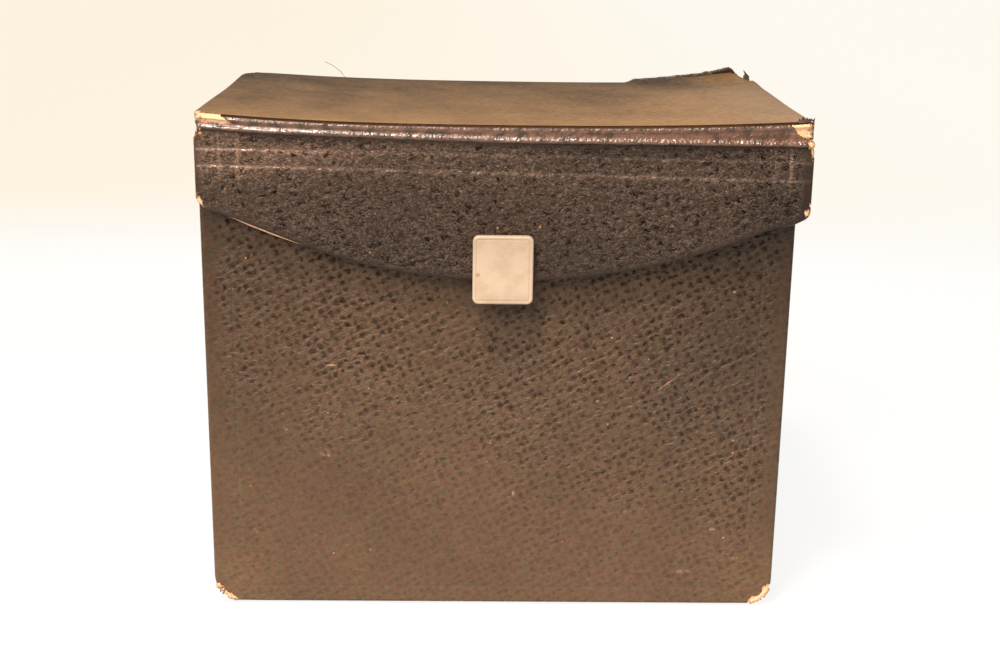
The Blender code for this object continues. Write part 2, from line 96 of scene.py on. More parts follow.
def rough(points, scale, seed=0.0, octaves=1):
    """Smooth noise from about -1 to 1 at each of an array of points, with features of that size."""
    flat = points.reshape(-1, 3) / scale + seed
    if octaves > 1:
        values = [noise.fractal(Vector(p), 0.6, 2.0, octaves) for p in flat]
    else:
        values = [noise.noise(Vector(p)) for p in flat]
    return np.array(values).reshape(points.shape[:-1])


def stations(start, stop, coarse, *spans):
    """Positions from start to stop, a coarse step apart, and closer in each (low, high, step)."""
    marks = [start, stop]
    for low, high, step in spans:
        low, high = max(low, start), min(high, stop)
        if high > low:
            marks += list(np.linspace(low, high, int(round((high - low) / step)) + 1))
    marks = np.unique(np.round(marks, 4))
    found = [marks[0]]
    for mark in marks[1:]:
        gap = mark - found[-1]
        if gap < 0.02:
            continue
        found += list(np.linspace(found[-1], mark, int(math.ceil(gap / coarse)) + 1)[1:])
    found[-1] = stop
    return np.array(found)


# ---------------------------------------------------------------- mesh building


def quads_of(index, flip=False):
    """Quads between the neighbouring rows and columns of an array of vertex numbers."""
    a, b, c, d = index[:-1, :-1], index[:-1, 1:], index[1:, 1:], index[1:, :-1]
    order = (a, d, c, b) if flip else (a, b, c, d)
    return np.stack([q.ravel() for q in order], axis=1)


def grid_quads(grid, flip=False):
    """Quads between the neighbouring points of a grid of points."""
    count = grid.shape[:2]
    return quads_of(np.arange(count[0] * count[1]).reshape(count), flip)


def build(name, points, faces, look, uv=None, fields=None, merge=True, thickness=0.0, offset=-1.0):
    """A smooth mesh object from points in millimetres, with its grain map and its fields."""
    points = np.asarray(points, float)
    mesh = bpy.data.meshes.new(name)
    mesh.from_pydata([tuple(p) for p in points.reshape(-1, 3) * MM], [], [tuple(f) for f in faces])
    if uv is not None:
        layer = mesh.uv_layers.new(name="Grain")
        corners = np.empty(len(mesh.loops), int)
        mesh.loops.foreach_get("vertex_index", corners)
        layer.data.foreach_set("uv", np.asarray(uv, np.float32).reshape(-1, 2)[corners].ravel())
    for field, values in (fields or {}).items():
        attribute = mesh.attributes.new(field, "FLOAT", "POINT")
        values = np.broadcast_to(np.asarray(values, np.float32), points.shape[:-1])
        attribute.data.foreach_set("value", values.ravel())
    if merge:
        bm = bmesh.new()
        bm.from_mesh(mesh)
        bmesh.ops.remove_doubles(bm, verts=bm.verts, dist=2e-6)
        bmesh.ops.dissolve_degenerate(bm, edges=bm.edges, dist=1e-6)
        bm.to_mesh(mesh)
        bm.free()
    mesh.shade_smooth()
    mesh.materials.append(look)
    piece = bpy.data.objects.new(name, mesh)
    bpy.context.scene.collection.objects.link(piece)
    if thickness:
        sheet = piece.modifiers.new("Sheet", "SOLIDIFY")
        sheet.thickness = thickness * MM
        sheet.offset = offset
    return piece


def close_ends(piece):
    """Fills what is left open at a block's two middles."""
    bm = bmesh.new()
    bm.from_mesh(piece.data)
    bmesh.ops.holes_fill(bm, edges=[e for e in bm.edges if e.is_boundary], sides=0)
    bmesh.ops.recalc_face_normals(bm, faces=bm.faces)
    bm.to_mesh(piece.data)
    bm.free()


def unworn(faces, bare):
    """The faces of a covering that are left: those with fewer than three bare corners."""
    return faces[bare.ravel()[faces].sum(axis=1) < 3]


def normals_of(points, faces):
    """Each point's outward normal on this surface."""
    a, b, c, d = (points[faces[:, i]] for i in range(4))
    face_normals = np.cross(c - a, d - b)
    total = np.zeros_like(points)
    for i in range(4):
        np.add.at(total, faces[:, i], face_normals)
    length = np.linalg.norm(total, axis=1, keepdims=True)
    return total / np.maximum(length, 1e-12)


def worn_board(name, body, points, faces, bare, keep=None):
    """The board that shows where the covering is worn away, just under its surface."""
    points, bare = points.reshape(-1, 3), bare.ravel()
    spread = np.zeros(len(points), bool)
    spread[faces[bare[faces].any(axis=1)].ravel()] = True
    chosen = spread[faces].any(axis=1)
    if keep is not None:
        chosen &= keep[faces].all(axis=1)
    used, renumbered = np.unique(faces[chosen], return_inverse=True)
    surface = points[used]
    fibres = 0.10 * rough(surface * np.array([0.35, 1.0, 1.0]), 0.5, 7.0, 3)
    surface = surface - normals_of(points, faces)[used] * (0.32 + fibres)[:, None]
    piece = build(name, surface, renumbered.reshape(-1, 4), BOARD, surface[:, (0, 2)], thickness=0.8)
    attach(piece, body)


def rounded_outline(x_stations, y_stations, half, centre, radius, corner_steps=6):
    """(outline(inset), lengths) of a rounded rectangle with the same points at every inset.

    It runs along the front, the right, the back and the left. Its first point is repeated last.
    """
    least = 0.12
    turn = np.radians(np.linspace(0, 90, corner_steps + 1))[1:-1]
    fx = x_stations / np.abs(x_stations).max()
    fy = y_stations / np.abs(y_stations).max()

    def outline(inset):
        r = max(radius - inset, least)
        hx, hy = half[0] - inset - r, half[1] - inset - r
        corners = ((hx, -hy, -90), (hx, hy, 0), (-hx, hy, 90), (-hx, -hy, 180))
        sides = (
            (fx * hx, np.full_like(fx, -hy - r)), (np.full_like(fy, hx + r), fy * hy),
            (-fx * hx, np.full_like(fx, hy + r)), (np.full_like(fy, -hx - r), -fy * hy),
        )
        parts = []
        for side, (cx, cy, start) in zip(sides, corners):
            angle = turn + math.radians(start)
            parts.append(np.stack(side, axis=1))
            parts.append(np.stack([cx + r * np.cos(angle), cy + r * np.sin(angle)], axis=1))
        ring = np.concatenate(parts)
        return np.vstack([ring, ring[:1]]) + centre

    lengths = np.linalg.norm(np.diff(outline(0), axis=0), axis=1)
    return outline, np.concatenate([[0], np.cumsum(lengths)])


def ring_stack(outline, lengths, path):
    """Points (rows, columns, 3) and their (u, v) for an outline swept along (inset, level)."""
    rings = [(outline(inset), level) for inset, level in path]
    points = np.array([np.column_stack([ring, np.full(len(ring), level)]) for ring, level in rings])
    steps = np.linalg.norm(np.diff(np.array(path), axis=0), axis=1)
    along = np.concatenate([[0], np.cumsum(steps)])
    u = np.broadcast_to(lengths, points.shape[:2])
    v = np.broadcast_to(along[:, None], points.shape[:2])
    return points, np.stack([u, v], axis=2)


def swept(profile, xs):
    """A grid of points: a profile's (y, z) repeated at each x."""
    x = np.broadcast_to(xs, (len(profile), len(xs)))
    return np.stack([x, *(np.broadcast_to(profile[:, i : i + 1], x.shape) for i in (0, 1))], axis=2)


# ---------------------------------------------------------------- materials


class Nodes:
    """A new material's shader nodes. An input is a value, or an output socket to link."""

    def __init__(self, name):
        self.look = bpy.data.materials.new(name)
        self.look.use_nodes = True
        self.tree = self.look.node_tree
        self.shader = self.tree.nodes["Principled BSDF"]

    def join(self, socket, value):
        """Links an output to a socket, or sets the socket's own value."""
        if isinstance(value, bpy.types.NodeSocket):
            self.tree.links.new(value, socket)
        else:
            socket.default_value = value

    def add(self, kind, inputs=None, **settings):
        """A node."""
        made = self.tree.nodes.new("ShaderNode" + kind)
        for key, value in settings.items():
            setattr(made, key, value)
        for key, value in (inputs or {}).items():
            self.join(made.inputs[key], value)
        return made

    def math(self, operation, a, b=0.0, clamp=False):
        """The result of some arithmetic on values."""
        return self.add("Math", {0: a, 1: b}, operation=operation, use_clamp=clamp).outputs[0]

    def times(self, a, b, clamp=False):
        """The product of two values."""
        return self.math("MULTIPLY", a, b, clamp)

    def plus(self, a, b, clamp=False):
        """The sum of two values."""
        return self.math("ADD", a, b, clamp)

    def vector(self, operation, a, b):
        """The result of some arithmetic on vectors or colours."""
        return self.add("VectorMath", {0: a, 1: b}, operation=operation).outputs[0]

    def scaled(self, a, factor):
        """A vector or colour times a value."""
        return self.add("VectorMath", {0: a, 3: factor}, operation="SCALE").outputs[0]

    def length(self, a):
        """A vector's length."""
        return self.add("VectorMath", {0: a}, operation="LENGTH").outputs["Value"]

    def split(self, colour):
        """A colour's or vector's three parts."""
        return self.add("SeparateXYZ", {0: colour}).outputs

    def mix(self, factor, a, b):
        """Two colours mixed by a factor. A plain colour is (r, g, b)."""
        a, b = ((*c, 1.0) if isinstance(c, tuple) else c for c in (a, b))
        return self.add("Mix", {0: factor, 6: a, 7: b}, data_type="RGBA").outputs[2]

    def step(self, value, low, high, out_low=0.0, out_high=1.0):
        """A smooth step of a value."""
        inputs = {0: value, 1: low, 2: high, 3: out_low, 4: out_high}
        return self.add("MapRange", inputs, interpolation_type="SMOOTHSTEP").outputs[0]

    def noise(self, vector, scale, detail=2.0, roughness=0.5, output=0):
        """A Noise texture's value, or its colour."""
        inputs = {"Vector": vector, "Scale": scale, "Detail": detail, "Roughness": roughness}
        return self.add("TexNoise", inputs).outputs[output]

    def cells(self, vector, scale, loose):
        """The distance to the nearest point of a loose grid, and that point's random parts."""
        inputs = {"Vector": vector, "Scale": scale, "Randomness": loose}
        made = self.add("TexVoronoi", inputs, voronoi_dimensions="2D")
        return made.outputs["Distance"], self.add("SeparateColor", {0: made.outputs["Color"]}).outputs

    def turned(self, vector, degrees):
        """A vector turned in the plane of the sheet."""
        inputs = {"Vector": vector, "Rotation": (0, 0, math.radians(degrees))}
        return self.add("Mapping", inputs).outputs[0]

    def field(self, name):
        """A field of the mesh, 0 where it has none."""
        return self.add("Attribute", attribute_name=name).outputs["Fac"]

    def grain_map(self):
        """Place on the sheet, in millimetres."""
        return self.add("UVMap", uv_map="Grain").outputs[0]

    def in_mm(self):
        """Place in the piece's own space, in millimetres."""
        return self.scaled(self.add("TexCoord").outputs["Object"], 1000.0)

    def relief(self, height, height_mm=1.0, strength=1.0):
        """A normal bumped by a height."""
        inputs = {"Height": height, "Distance": height_mm * MM, "Strength": strength}
        return self.add("Bump", inputs).outputs[0]

    def wire(self, **values):
        """Joins the shader's sockets, and gives the material. An underscore stands for a space."""
        for key, value in values.items():
            self.join(self.shader.inputs[key.replace("_", " ")], value)
        return self.look


def tint(colour, *factors):
    """A colour times one factor, or times one for each part."""
    return tuple(c * f for c, f in zip(colour, factors * 3 if len(factors) == 1 else factors))


def leatherette(
    name, pale, dark, pitch=(2.55, 2.35), slant_deg=28.0, loose=0.42, drift_mm=2.4,
    pit_reach=(0.42, 0.66), pit_mm=0.26, wrinkle_mm=0.07, wrinkle_scale=(0.50, 0.85),
    wrinkle_width=0.12, wrinkle_tint=0.12, raised_by=2.0, streak_mm=0.20, pore_mm=0.03,
    darken=0.80, fleck=0.32, roughness=0.42, shine=0.36, marks=(),
):
    """Embossed leatherette: dark pits in slanting rows, between paler wrinkled ridges. The pits' dark is
    dirt and painted shade; the paler wrinkles and streaks are painted highlights.
    """
    n = Nodes(name)
    place = n.grain_map()
    fields = ("grain", "rub", "band", "gloss", "crack", "painted_light_and_tone")
    grain, rub, band, gloss, crack, painted_light_and_tone = (n.field(field) for field in fields)

    # pits on a loose slanting grid, each with its own reach and depth
    drift = n.vector("SUBTRACT", n.noise(place, 0.45, output="Color"), (0.5, 0.5, 0.5))
    warped = n.vector("ADD", place, n.scaled(drift, drift_mm))
    per_pit = (1 / pitch[0], 1 / pitch[1], 1)
    cell = n.vector("MULTIPLY", n.turned(warped, -slant_deg), per_pit)
    from_pit, chance = n.cells(cell, 1.0, loose)
    away = n.math("DIVIDE", from_pit, n.step(chance[0], 0.0, 1.0, *pit_reach))
    pit = n.times(n.step(away, 1.0, 0.05), n.step(chance[1], 0.0, 0.8, 0.50, 1.0))
    streak = n.step(n.noise(n.vector("MULTIPLY", cell, (0.55, 1.35, 1)), 1.0, 1.0), 0.35, 0.65)
    squeezed = n.vector("MULTIPLY", warped, (*wrinkle_scale, 1))
    creased = n.math("ABSOLUTE", n.math("SUBTRACT", n.noise(squeezed, 1.0, 2.0, 0.6), 0.5))
    creased = n.step(creased, wrinkle_width, 0.0)
    patch = n.step(n.noise(place, 0.035), 0.32, 0.66, 0.75, 1.1)
    strength = n.times(grain, patch, clamp=True)
    pitted, ridged, streaked = (n.times(layer, strength) for layer in (pit, creased, streak))
    crackled = n.times(n.noise(place, 0.75, 2.0, 0.6), crack)

    height = n.times(pitted, -pit_mm)
    pores, swell = n.noise(place, 1.5), n.noise(place, 0.28)
    layers = (
        (ridged, wrinkle_mm), (streaked, streak_mm), (pores, pore_mm), (swell, 0.16), (crackled, 0.55)
    )
    for layer, amount in layers:
        height = n.plus(height, n.times(layer, amount))

    # colour: broad tones and a mottle, then the grain, then painted light and shade with some tone, then
    # what is worn
    tone = n.step(n.noise(place, 0.028, 3.0), 0.3, 0.7)
    body = n.mix(tone, tint(pale, 0.88), tint(pale, 1.12))
    mottle = n.step(n.noise(place, 0.45, 3.0, 0.6), 0.35, 0.68)
    body = n.mix(n.times(mottle, 0.35), body, tint(pale, 0.72))
    hues = n.scaled(n.noise(place, 0.85, 2.0, 0.6, "Color"), 4 * fleck)
    body = n.vector("MULTIPLY", body, n.vector("ADD", hues, (1 - 2 * fleck,) * 3))
    # the streaks painted paler: painted highlights along them
    body = n.mix(n.times(streaked, 0.40), body, tint(pale, 1.45))
    # the pits painted dark: dirt in them and painted shade
    body = n.mix(n.times(pitted, darken), body, dark)
    # the wrinkles painted paler and bluer: painted highlights on them
    wrinkle_highlight = tint(pale, raised_by, raised_by * 1.14, raised_by * 1.35)
    body = n.mix(n.times(ridged, wrinkle_tint), body, wrinkle_highlight)
    # painted light and shade, with some tone, from the mesh's field
    body = n.scaled(body, n.plus(painted_light_and_tone, 1.0))
    scuffed = n.step(n.noise(place, 0.22, 4.0, 0.7), 0.54, 0.70)
    body = n.mix(n.times(scuffed, 0.14), body, tint(pale, 1.7, 1.35, 1.2))
    worn_band = n.step(n.noise(place, 0.30, 4.0, 0.6), 0.36, 0.58, 0.05, 1.0)
    body = n.mix(n.times(band, worn_band), body, (0.150, 0.074, 0.047))
    for spot in marks:
        rub = n.plus(rub, mark(n, *spot))
    rag = n.times(n.noise(place, 0.8, 4.0, 0.65), 0.9)
    rubbed = n.step(n.plus(rub, rag), 0.80, 1.15)
    body = n.mix(rubbed, body, (0.32, 0.18, 0.105))
    from_speck, luck = n.cells(place, 0.085, 1.0)
    radius = n.times(n.step(luck[0], 0.68, 1.0), 0.034)
    speck = n.step(n.math("SUBTRACT", from_speck, radius), 0.0, -0.012)
    body = n.mix(n.times(speck, 0.8), body, (0.42, 0.20, 0.09))

    dull = n.step(mottle, 0.0, 1.0, roughness - 0.05, roughness + 0.08)
    dull = n.plus(n.plus(dull, n.times(pitted, 0.15)), n.times(rubbed, 0.25))
    dull = n.math("SUBTRACT", dull, n.times(gloss, 0.22), clamp=True)
    sheen = n.plus(n.step(pitted, 0.0, 1.0, shine, 0.2 * shine), n.times(ridged, 0.5 * shine))
    sheen = n.plus(sheen, n.times(gloss, 0.45), clamp=True)
    return n.wire(Base_Color=body, Roughness=dull, Normal=n.relief(height), Specular_IOR_Level=sheen)


def mark(n, middle, reach_mm, turn_deg, strength):
    """A rubbed spot on the case's front: an ellipse that fades to nothing at its edge."""
    inputs = {
        "Vector": n.in_mm(),
        "Location": (middle[0], CASE_LOW[1], middle[1]),
        "Rotation": (0, -math.radians(turn_deg), 0),
        "Scale": (reach_mm[0], 4.0, reach_mm[1]),
    }
    local = n.add("Mapping", inputs, vector_type="TEXTURE").outputs[0]
    return n.step(n.length(local), 1.0, 0.2, 0.0, strength)


def board_look(name):
    """Bare strawboard: warm tan, fibrous, with dirty and paler streaks."""
    n = Nodes(name)
    place = n.in_mm()
    fibre = n.noise(n.vector("MULTIPLY", place, (0.3, 1.0, 1.4)), 2.2, 5.0, 0.7)
    cloud = n.noise(place, 0.35, 3.0)
    colour = n.mix(n.step(fibre, 0.3, 0.7), (0.70, 0.37, 0.19), (0.92, 0.60, 0.36))
    colour = n.mix(n.step(cloud, 0.55, 0.75), colour, (0.48, 0.24, 0.12))
    relief = n.relief(fibre, 0.35, 0.9)
    return n.wire(Base_Color=colour, Roughness=0.92, Normal=relief, Specular_IOR_Level=0.2)


def paper_look(name, colour, fleck):
    """Laid paper, foxed and a little uneven."""
    n = Nodes(name)
    place = n.in_mm()
    fibre = n.noise(place, 1.6, 5.0, 0.7)
    cloud = n.step(n.noise(place, 0.05, 4.0, 0.6), 0.35, 0.7)
    tone = n.mix(cloud, colour, tint(colour, 0.72))
    tone = n.mix(n.step(fibre, 0.45, 0.75), tone, fleck)
    spots = n.step(n.noise(place, 0.25, 3.0, 0.7), 0.66, 0.78)
    tone = n.mix(n.times(spots, 0.5), tone, (0.22, 0.12, 0.06))
    relief = n.relief(fibre, 0.05)
    return n.wire(Base_Color=tone, Roughness=0.86, Normal=relief, Specular_IOR_Level=0.25)


def linen_look(name):
    """Plain-woven bookbinder's linen."""
    n = Nodes(name)
    place = n.grain_map()
    threads = []
    for turn_deg in (0, 90):
        inputs = {"Vector": n.turned(place, turn_deg), "Scale": 0.55, "Distortion": 0.6, "Detail": 1.0}
        threads.append(n.add("TexWave", inputs, wave_type="BANDS").outputs["Fac"])
    weave = n.math("MAXIMUM", *threads)
    slub = n.step(n.noise(place, 0.5, 4.0, 0.6), 0.4, 0.75)
    colour = n.mix(weave, (0.17, 0.12, 0.075), (0.36, 0.28, 0.19))
    colour = n.mix(slub, colour, (0.25, 0.18, 0.11))
    relief = n.relief(weave, 0.12)
    return n.wire(Base_Color=colour, Roughness=0.9, Normal=relief, Specular_IOR_Level=0.2)


def ivory_look(name):
    """Aged ivory-coloured plate: faint stains, fine scratches along it and one rust spot."""
    n = Nodes(name)
    place = n.grain_map()
    stain = n.step(n.noise(place, 0.16, 4.0, 0.6), 0.35, 0.68)
    colour = n.mix(stain, (0.49, 0.355, 0.255), (0.42, 0.30, 0.20))
    green = n.step(n.noise(place, 0.22), 0.56, 0.76)
    colour = n.mix(n.times(green, 0.35), colour, (0.36, 0.29, 0.17))
    scratch = n.noise(n.vector("MULTIPLY", place, (0.25, 3.5, 1.0)), 1.2, 5.0, 0.75)
    colour = n.mix(n.times(n.step(scratch, 0.5, 0.7), 0.3), colour, (0.58, 0.44, 0.33))
    colour = n.mix(n.times(n.field("border"), 0.5), colour, (0.40, 0.25, 0.13))
    colour = n.scaled(colour, n.step(n.split(place)[1], 117.0, 103.0, 0.92, 1.10))
    from_spot = n.length(n.vector("SUBTRACT", place, (*RUST_SPOT, 0.0)))
    spot = n.step(from_spot, 0.8, 0.2)
    colour = n.mix(n.times(spot, 0.85), colour, (0.36, 0.155, 0.05))
    dull = n.step(scratch, 0.3, 0.7, 0.32, 0.48)
    return n.wire(Base_Color=colour, Roughness=dull, Normal=n.relief(scratch, 0.02), Coat_Weight=0.15)


def steel_look(name):
    """Nickelled steel, dulled and slightly pitted with age."""
    n = Nodes(name)
    place = n.in_mm()
    cloud = n.noise(place, 0.9, 4.0, 0.65)
    colour = n.mix(n.step(cloud, 0.4, 0.7), (0.66, 0.62, 0.55), (0.40, 0.34, 0.26))
    rust = n.step(n.noise(place, 1.7, 4.0, 0.7), 0.62, 0.72)
    colour = n.mix(rust, colour, (0.20, 0.085, 0.035))
    dull = n.step(cloud, 0.3, 0.7, 0.24, 0.46)
    metal = n.step(rust, 0.0, 1.0, 1.0, 0.2)
    return n.wire(Base_Color=colour, Metallic=metal, Roughness=dull, Normal=n.relief(cloud, 0.04))


def base_look(name):
    """Leatherette for the base sheet, which has no grain map."""
    n = Nodes(name)
    place = n.in_mm()
    pores = n.noise(place, 0.9, 4.0, 0.65)
    cloud = n.step(n.noise(place, 0.05, 3.0), 0.35, 0.7)
    colour = n.mix(cloud, (0.060, 0.038, 0.026), (0.11, 0.07, 0.045))
    colour = n.mix(n.step(pores, 0.5, 0.72), colour, (0.03, 0.019, 0.013))
    return n.wire(Base_Color=colour, Roughness=0.6, Normal=n.relief(pores, 0.12))


# rubbed spots and scratches on the front: (x, z), (half width, half height), turn, strength
FRONT_MARKS = (
    ((-48.3, 76.4), (4.0, 0.6), 0, 0.62), ((-50.5, 49.0), (6.0, 3.4), -20, 0.42),
    ((-62.0, 56.5), (2.4, 1.2), 20, 0.45), ((5.4, 36.6), (0.8, 1.8), 0, 0.62),
    ((50.4, 71.8), (9.4, 0.5), 38, 0.62), ((24.0, 82.0), (1.1, 1.1), 0, 0.60),
    ((29.8, 66.0), (1.4, 0.9), 0, 0.55), ((0.6, 48.4), (1.3, 0.9), 0, 0.50),
    ((70.5, 54.0), (0.7, 0.7), 0, 0.70), ((70.8, 50.0), (0.6, 0.6), 0, 0.70),
    ((65.8, 25.4), (2.0, 0.7), 0, 0.66), ((69.4, 22.6), (0.8, 0.8), 0, 0.75),
    ((39.0, 31.0), (2.4, 0.9), 30, 0.48), ((57.5, 11.4), (6.4, 1.6), 0, 0.50),
    ((35.5, 13.6), (3.6, 2.0), 0, 0.40), ((73.0, 16.0), (3.0, 1.0), 0, 0.48),
    ((-44.0, 19.0), (4.0, 2.6), 0, 0.36), ((-72.0, 24.0), (3.2, 2.6), 0, 0.38),
)
CASE_LEATHER = leatherette(
    "case_leatherette", (0.083, 0.0430, 0.0200), (0.010, 0.0055, 0.0035), marks=FRONT_MARKS
)
FLAP_LEATHER = leatherette(
    "flap_leatherette", (0.040, 0.0210, 0.0118), (0.002, 0.0013, 0.0010), pitch=(3.1, 2.6),
    slant_deg=18.0, loose=0.6, drift_mm=2.6, pit_reach=(0.46, 0.70), pit_mm=0.45, wrinkle_mm=0.24,
    wrinkle_scale=(0.60, 1.25), wrinkle_width=0.09, wrinkle_tint=0.85, raised_by=3.6,
    streak_mm=0.08, darken=1.0, fleck=0.26, roughness=0.36, shine=0.26,
)
# the lid's paler colour: partly dust and wear, partly painted light from above and a painted sheen
LID_LEATHER = leatherette(
    "lid_leatherette", (0.160, 0.087, 0.036), (0.090, 0.052, 0.026), loose=0.9, pit_mm=0.04,
    fleck=0.08, streak_mm=0.03, pore_mm=0.02, darken=0.3, roughness=0.60, shine=0.20,
)
PLAIN_LEATHER = leatherette(
    "plain_leatherette", (0.055, 0.031, 0.019), (0.020, 0.012, 0.008), loose=0.9, pit_mm=0.12,
    wrinkle_mm=0.05, roughness=0.5,
)
BASE_LEATHER = base_look("base_sheet_leatherette")
BOARD = board_look("strawboard_bare")
LINING = paper_look("lining_brown_paper", (0.30, 0.215, 0.14), (0.38, 0.29, 0.20))
KRAFT = paper_look("kraft_stay_paper", (0.42, 0.28, 0.15), (0.50, 0.35, 0.21))
LINEN = linen_look("hinge_linen")
IVORY = ivory_look("ivory_plate_face")
STEEL = steel_look("aged_nickel")


# ---------------------------------------------------------------- the warped lid

LIFT_CENTRE = 5.0  # where the lid's front edge is lowest


def lift(x, y=None):
    """How far the warped lid stands above a flat one: nothing in the middle, most at its ends."""
    d = np.asarray(x, float) - LIFT_CENTRE
    left = 2.7 * (np.clip(-d, 0, None) / 89) ** 2.8
    right = 1.9 * (np.clip(d, 0, None) / 80) ** 2.3
    if y is None:
        return left + right
    back = (np.asarray(y, float) - LID_LOW[1]) / (LID_HIGH[1] - LID_LOW[1])
    return (left + right) * (1 - 0.2 * back) + (0.45 - 0.3 * d / 85) * back


def torn_lift(x):
    """How far the torn covering stands up along the lid's back edge, near its right end."""
    places = (44, 46.5, 54, 61, 68.5, 75.5, 78.4, 80.5, 82.6, 84.3)
    return np.interp(x, places, (0, 1.4, 1.9, 2.5, 3.2, 4.5, 5.4, 3.6, 1.6, 0))


# ---------------------------------------------------------------- case covering


def case_profile():
    """The case covering's (inset, level): from under the base, up the wall and over into the case."""
    low, high, r = CASE_LOW[2], CASE_HIGH[2], 0.8
    inside = CASE_HIGH[0] - box_mm("wall_lining")[1][0] + 0.2
    bend = np.radians((22.5, 45, 67.5, 90))
    heights = stations(low + r, high - r, 2.6, (low + r, 9.5, 0.4), (high - 3, high - r, 0.7))
    path = [(inset, low) for inset in (12, 9, 6, 4, 2.4, 1.5, r)]
    path += [(r - r * math.sin(a), low + r - r * math.cos(a)) for a in bend]
    path += [(0, z) for z in heights[1:]]
    path += [(r - r * math.cos(a), high - r + r * math.sin(a)) for a in bend]
    path += [(inset, high) for inset in (2, 3.4, inside - r)]
    path += [(inside - r + r * math.sin(a), high - r + r * math.cos(a)) for a in bend]
    return path + [(inside, high - d) for d in (2.2, 4, 6.5, 9, 11.8)]


def crushed(x, y, z, half, low, outside):
    """(x, z) with the case's bottom corners crushed to a larger radius, most at the front."""
    for sx, sy, radius in ((-1, -1, 9.2), (1, -1, 8.6), (-1, 1, 3.4), (1, 1, 3.0)):
        depth = np.abs(sy * half[1] - y)
        r_here = radius * smooth(depth, 10.0, 0.0) + 0.01
        over_x = np.clip(r_here - (half[0] - sx * x), 0, None)
        over_z = np.clip(r_here - (z - low), 0, None)
        reach = np.hypot(over_x, over_z)
        ratio = np.where(reach > r_here, r_here / np.maximum(reach, 1e-9), 1.0)
        near = (sx * x > half[0] - radius) & (z < low + radius) & (depth < 9.5) & outside
        x = np.where(near & (over_x > 0), sx * (half[0] - r_here + over_x * ratio), x)
        z = np.where(near & (over_z > 0), low + r_here - over_z * ratio, z)
    return x, z


def case_wear(x, y, z, half, front, outer, tooled, lapped):
    """The case covering's fields: grain, rubbing, gloss, and painted light and shade."""
    low, high = CASE_LOW[2], CASE_HIGH[2]
    to_side, to_face = half[0] - np.abs(x), half[1] - np.abs(y)
    to_upright = np.where(front > 0.5, to_side, np.maximum(to_side, to_face))
    grain = 0.34 + 0.72 * smooth(z + 0.28 * x * front, 12, 80)
    grain = grain * (0.25 + 0.75 * smooth(to_upright, 0.5, 9.0))
    clasp_away = np.hypot((x - LID_MIDDLE) / 16, (z - 104) / 11)
    grain = grain * np.where(front > 0.5, smooth(clasp_away, 0.5, 1.5) * 0.6 + 0.4, 1)
    grain = np.where(outer, grain, 0.12) * (1 - 0.8 * tooled)

    rub = 0.46 * bump(to_upright, 0, 0.6) * outer + 0.36 * bump(z, high, 0.9)
    rub = rub + 0.50 * bump(z, low, 1.1) * lapped
    for sx, sy in ((-1, -1), (1, -1), (-1, 1), (1, 1)):
        near = np.sqrt((half[0] - sx * x) ** 2 + (z - low) ** 2 + (half[1] - sy * y) ** 2)
        rub = rub + 0.35 * smooth(near, 9, 3)

    # painted light: the case darker towards the top and lighter towards the bottom, where the pale floor
    # lights it, partly wear
    painted_light_and_tone = np.interp(z, (0, 40, 75, 110, 143), (0.52, 0.30, 0.08, -0.20, -0.30)) * outer
    # painted light and shade on the front: darker towards the right and its upper corners and in a patch
    # at the right, lighter at its bottom corners
    front_light_and_shade = -0.17 * smooth(x, -20, 75) * smooth(z, 20, 55)
    front_light_and_shade = front_light_and_shade - 0.15 * smooth(x, -50, -80) * smooth(z, 35, 60)
    front_light_and_shade = front_light_and_shade - 0.17 * smooth(x, 45, 78) * smooth(z, 60, 95)
    front_light_and_shade = front_light_and_shade - 0.12 * bump(x, 57, 18) * bump(z, 66, 20)
    front_light_and_shade = front_light_and_shade + 0.30 * smooth(np.abs(x), 60, 78) * smooth(z, 24, 8)
    gloss = 0.6 * tooled - 0.22 * front * smooth(z, 55, 105)
    return {"grain": grain, "rub": rub, "gloss": gloss, "painted_light_and_tone": painted_light_and_tone + front * front_light_and_shade}


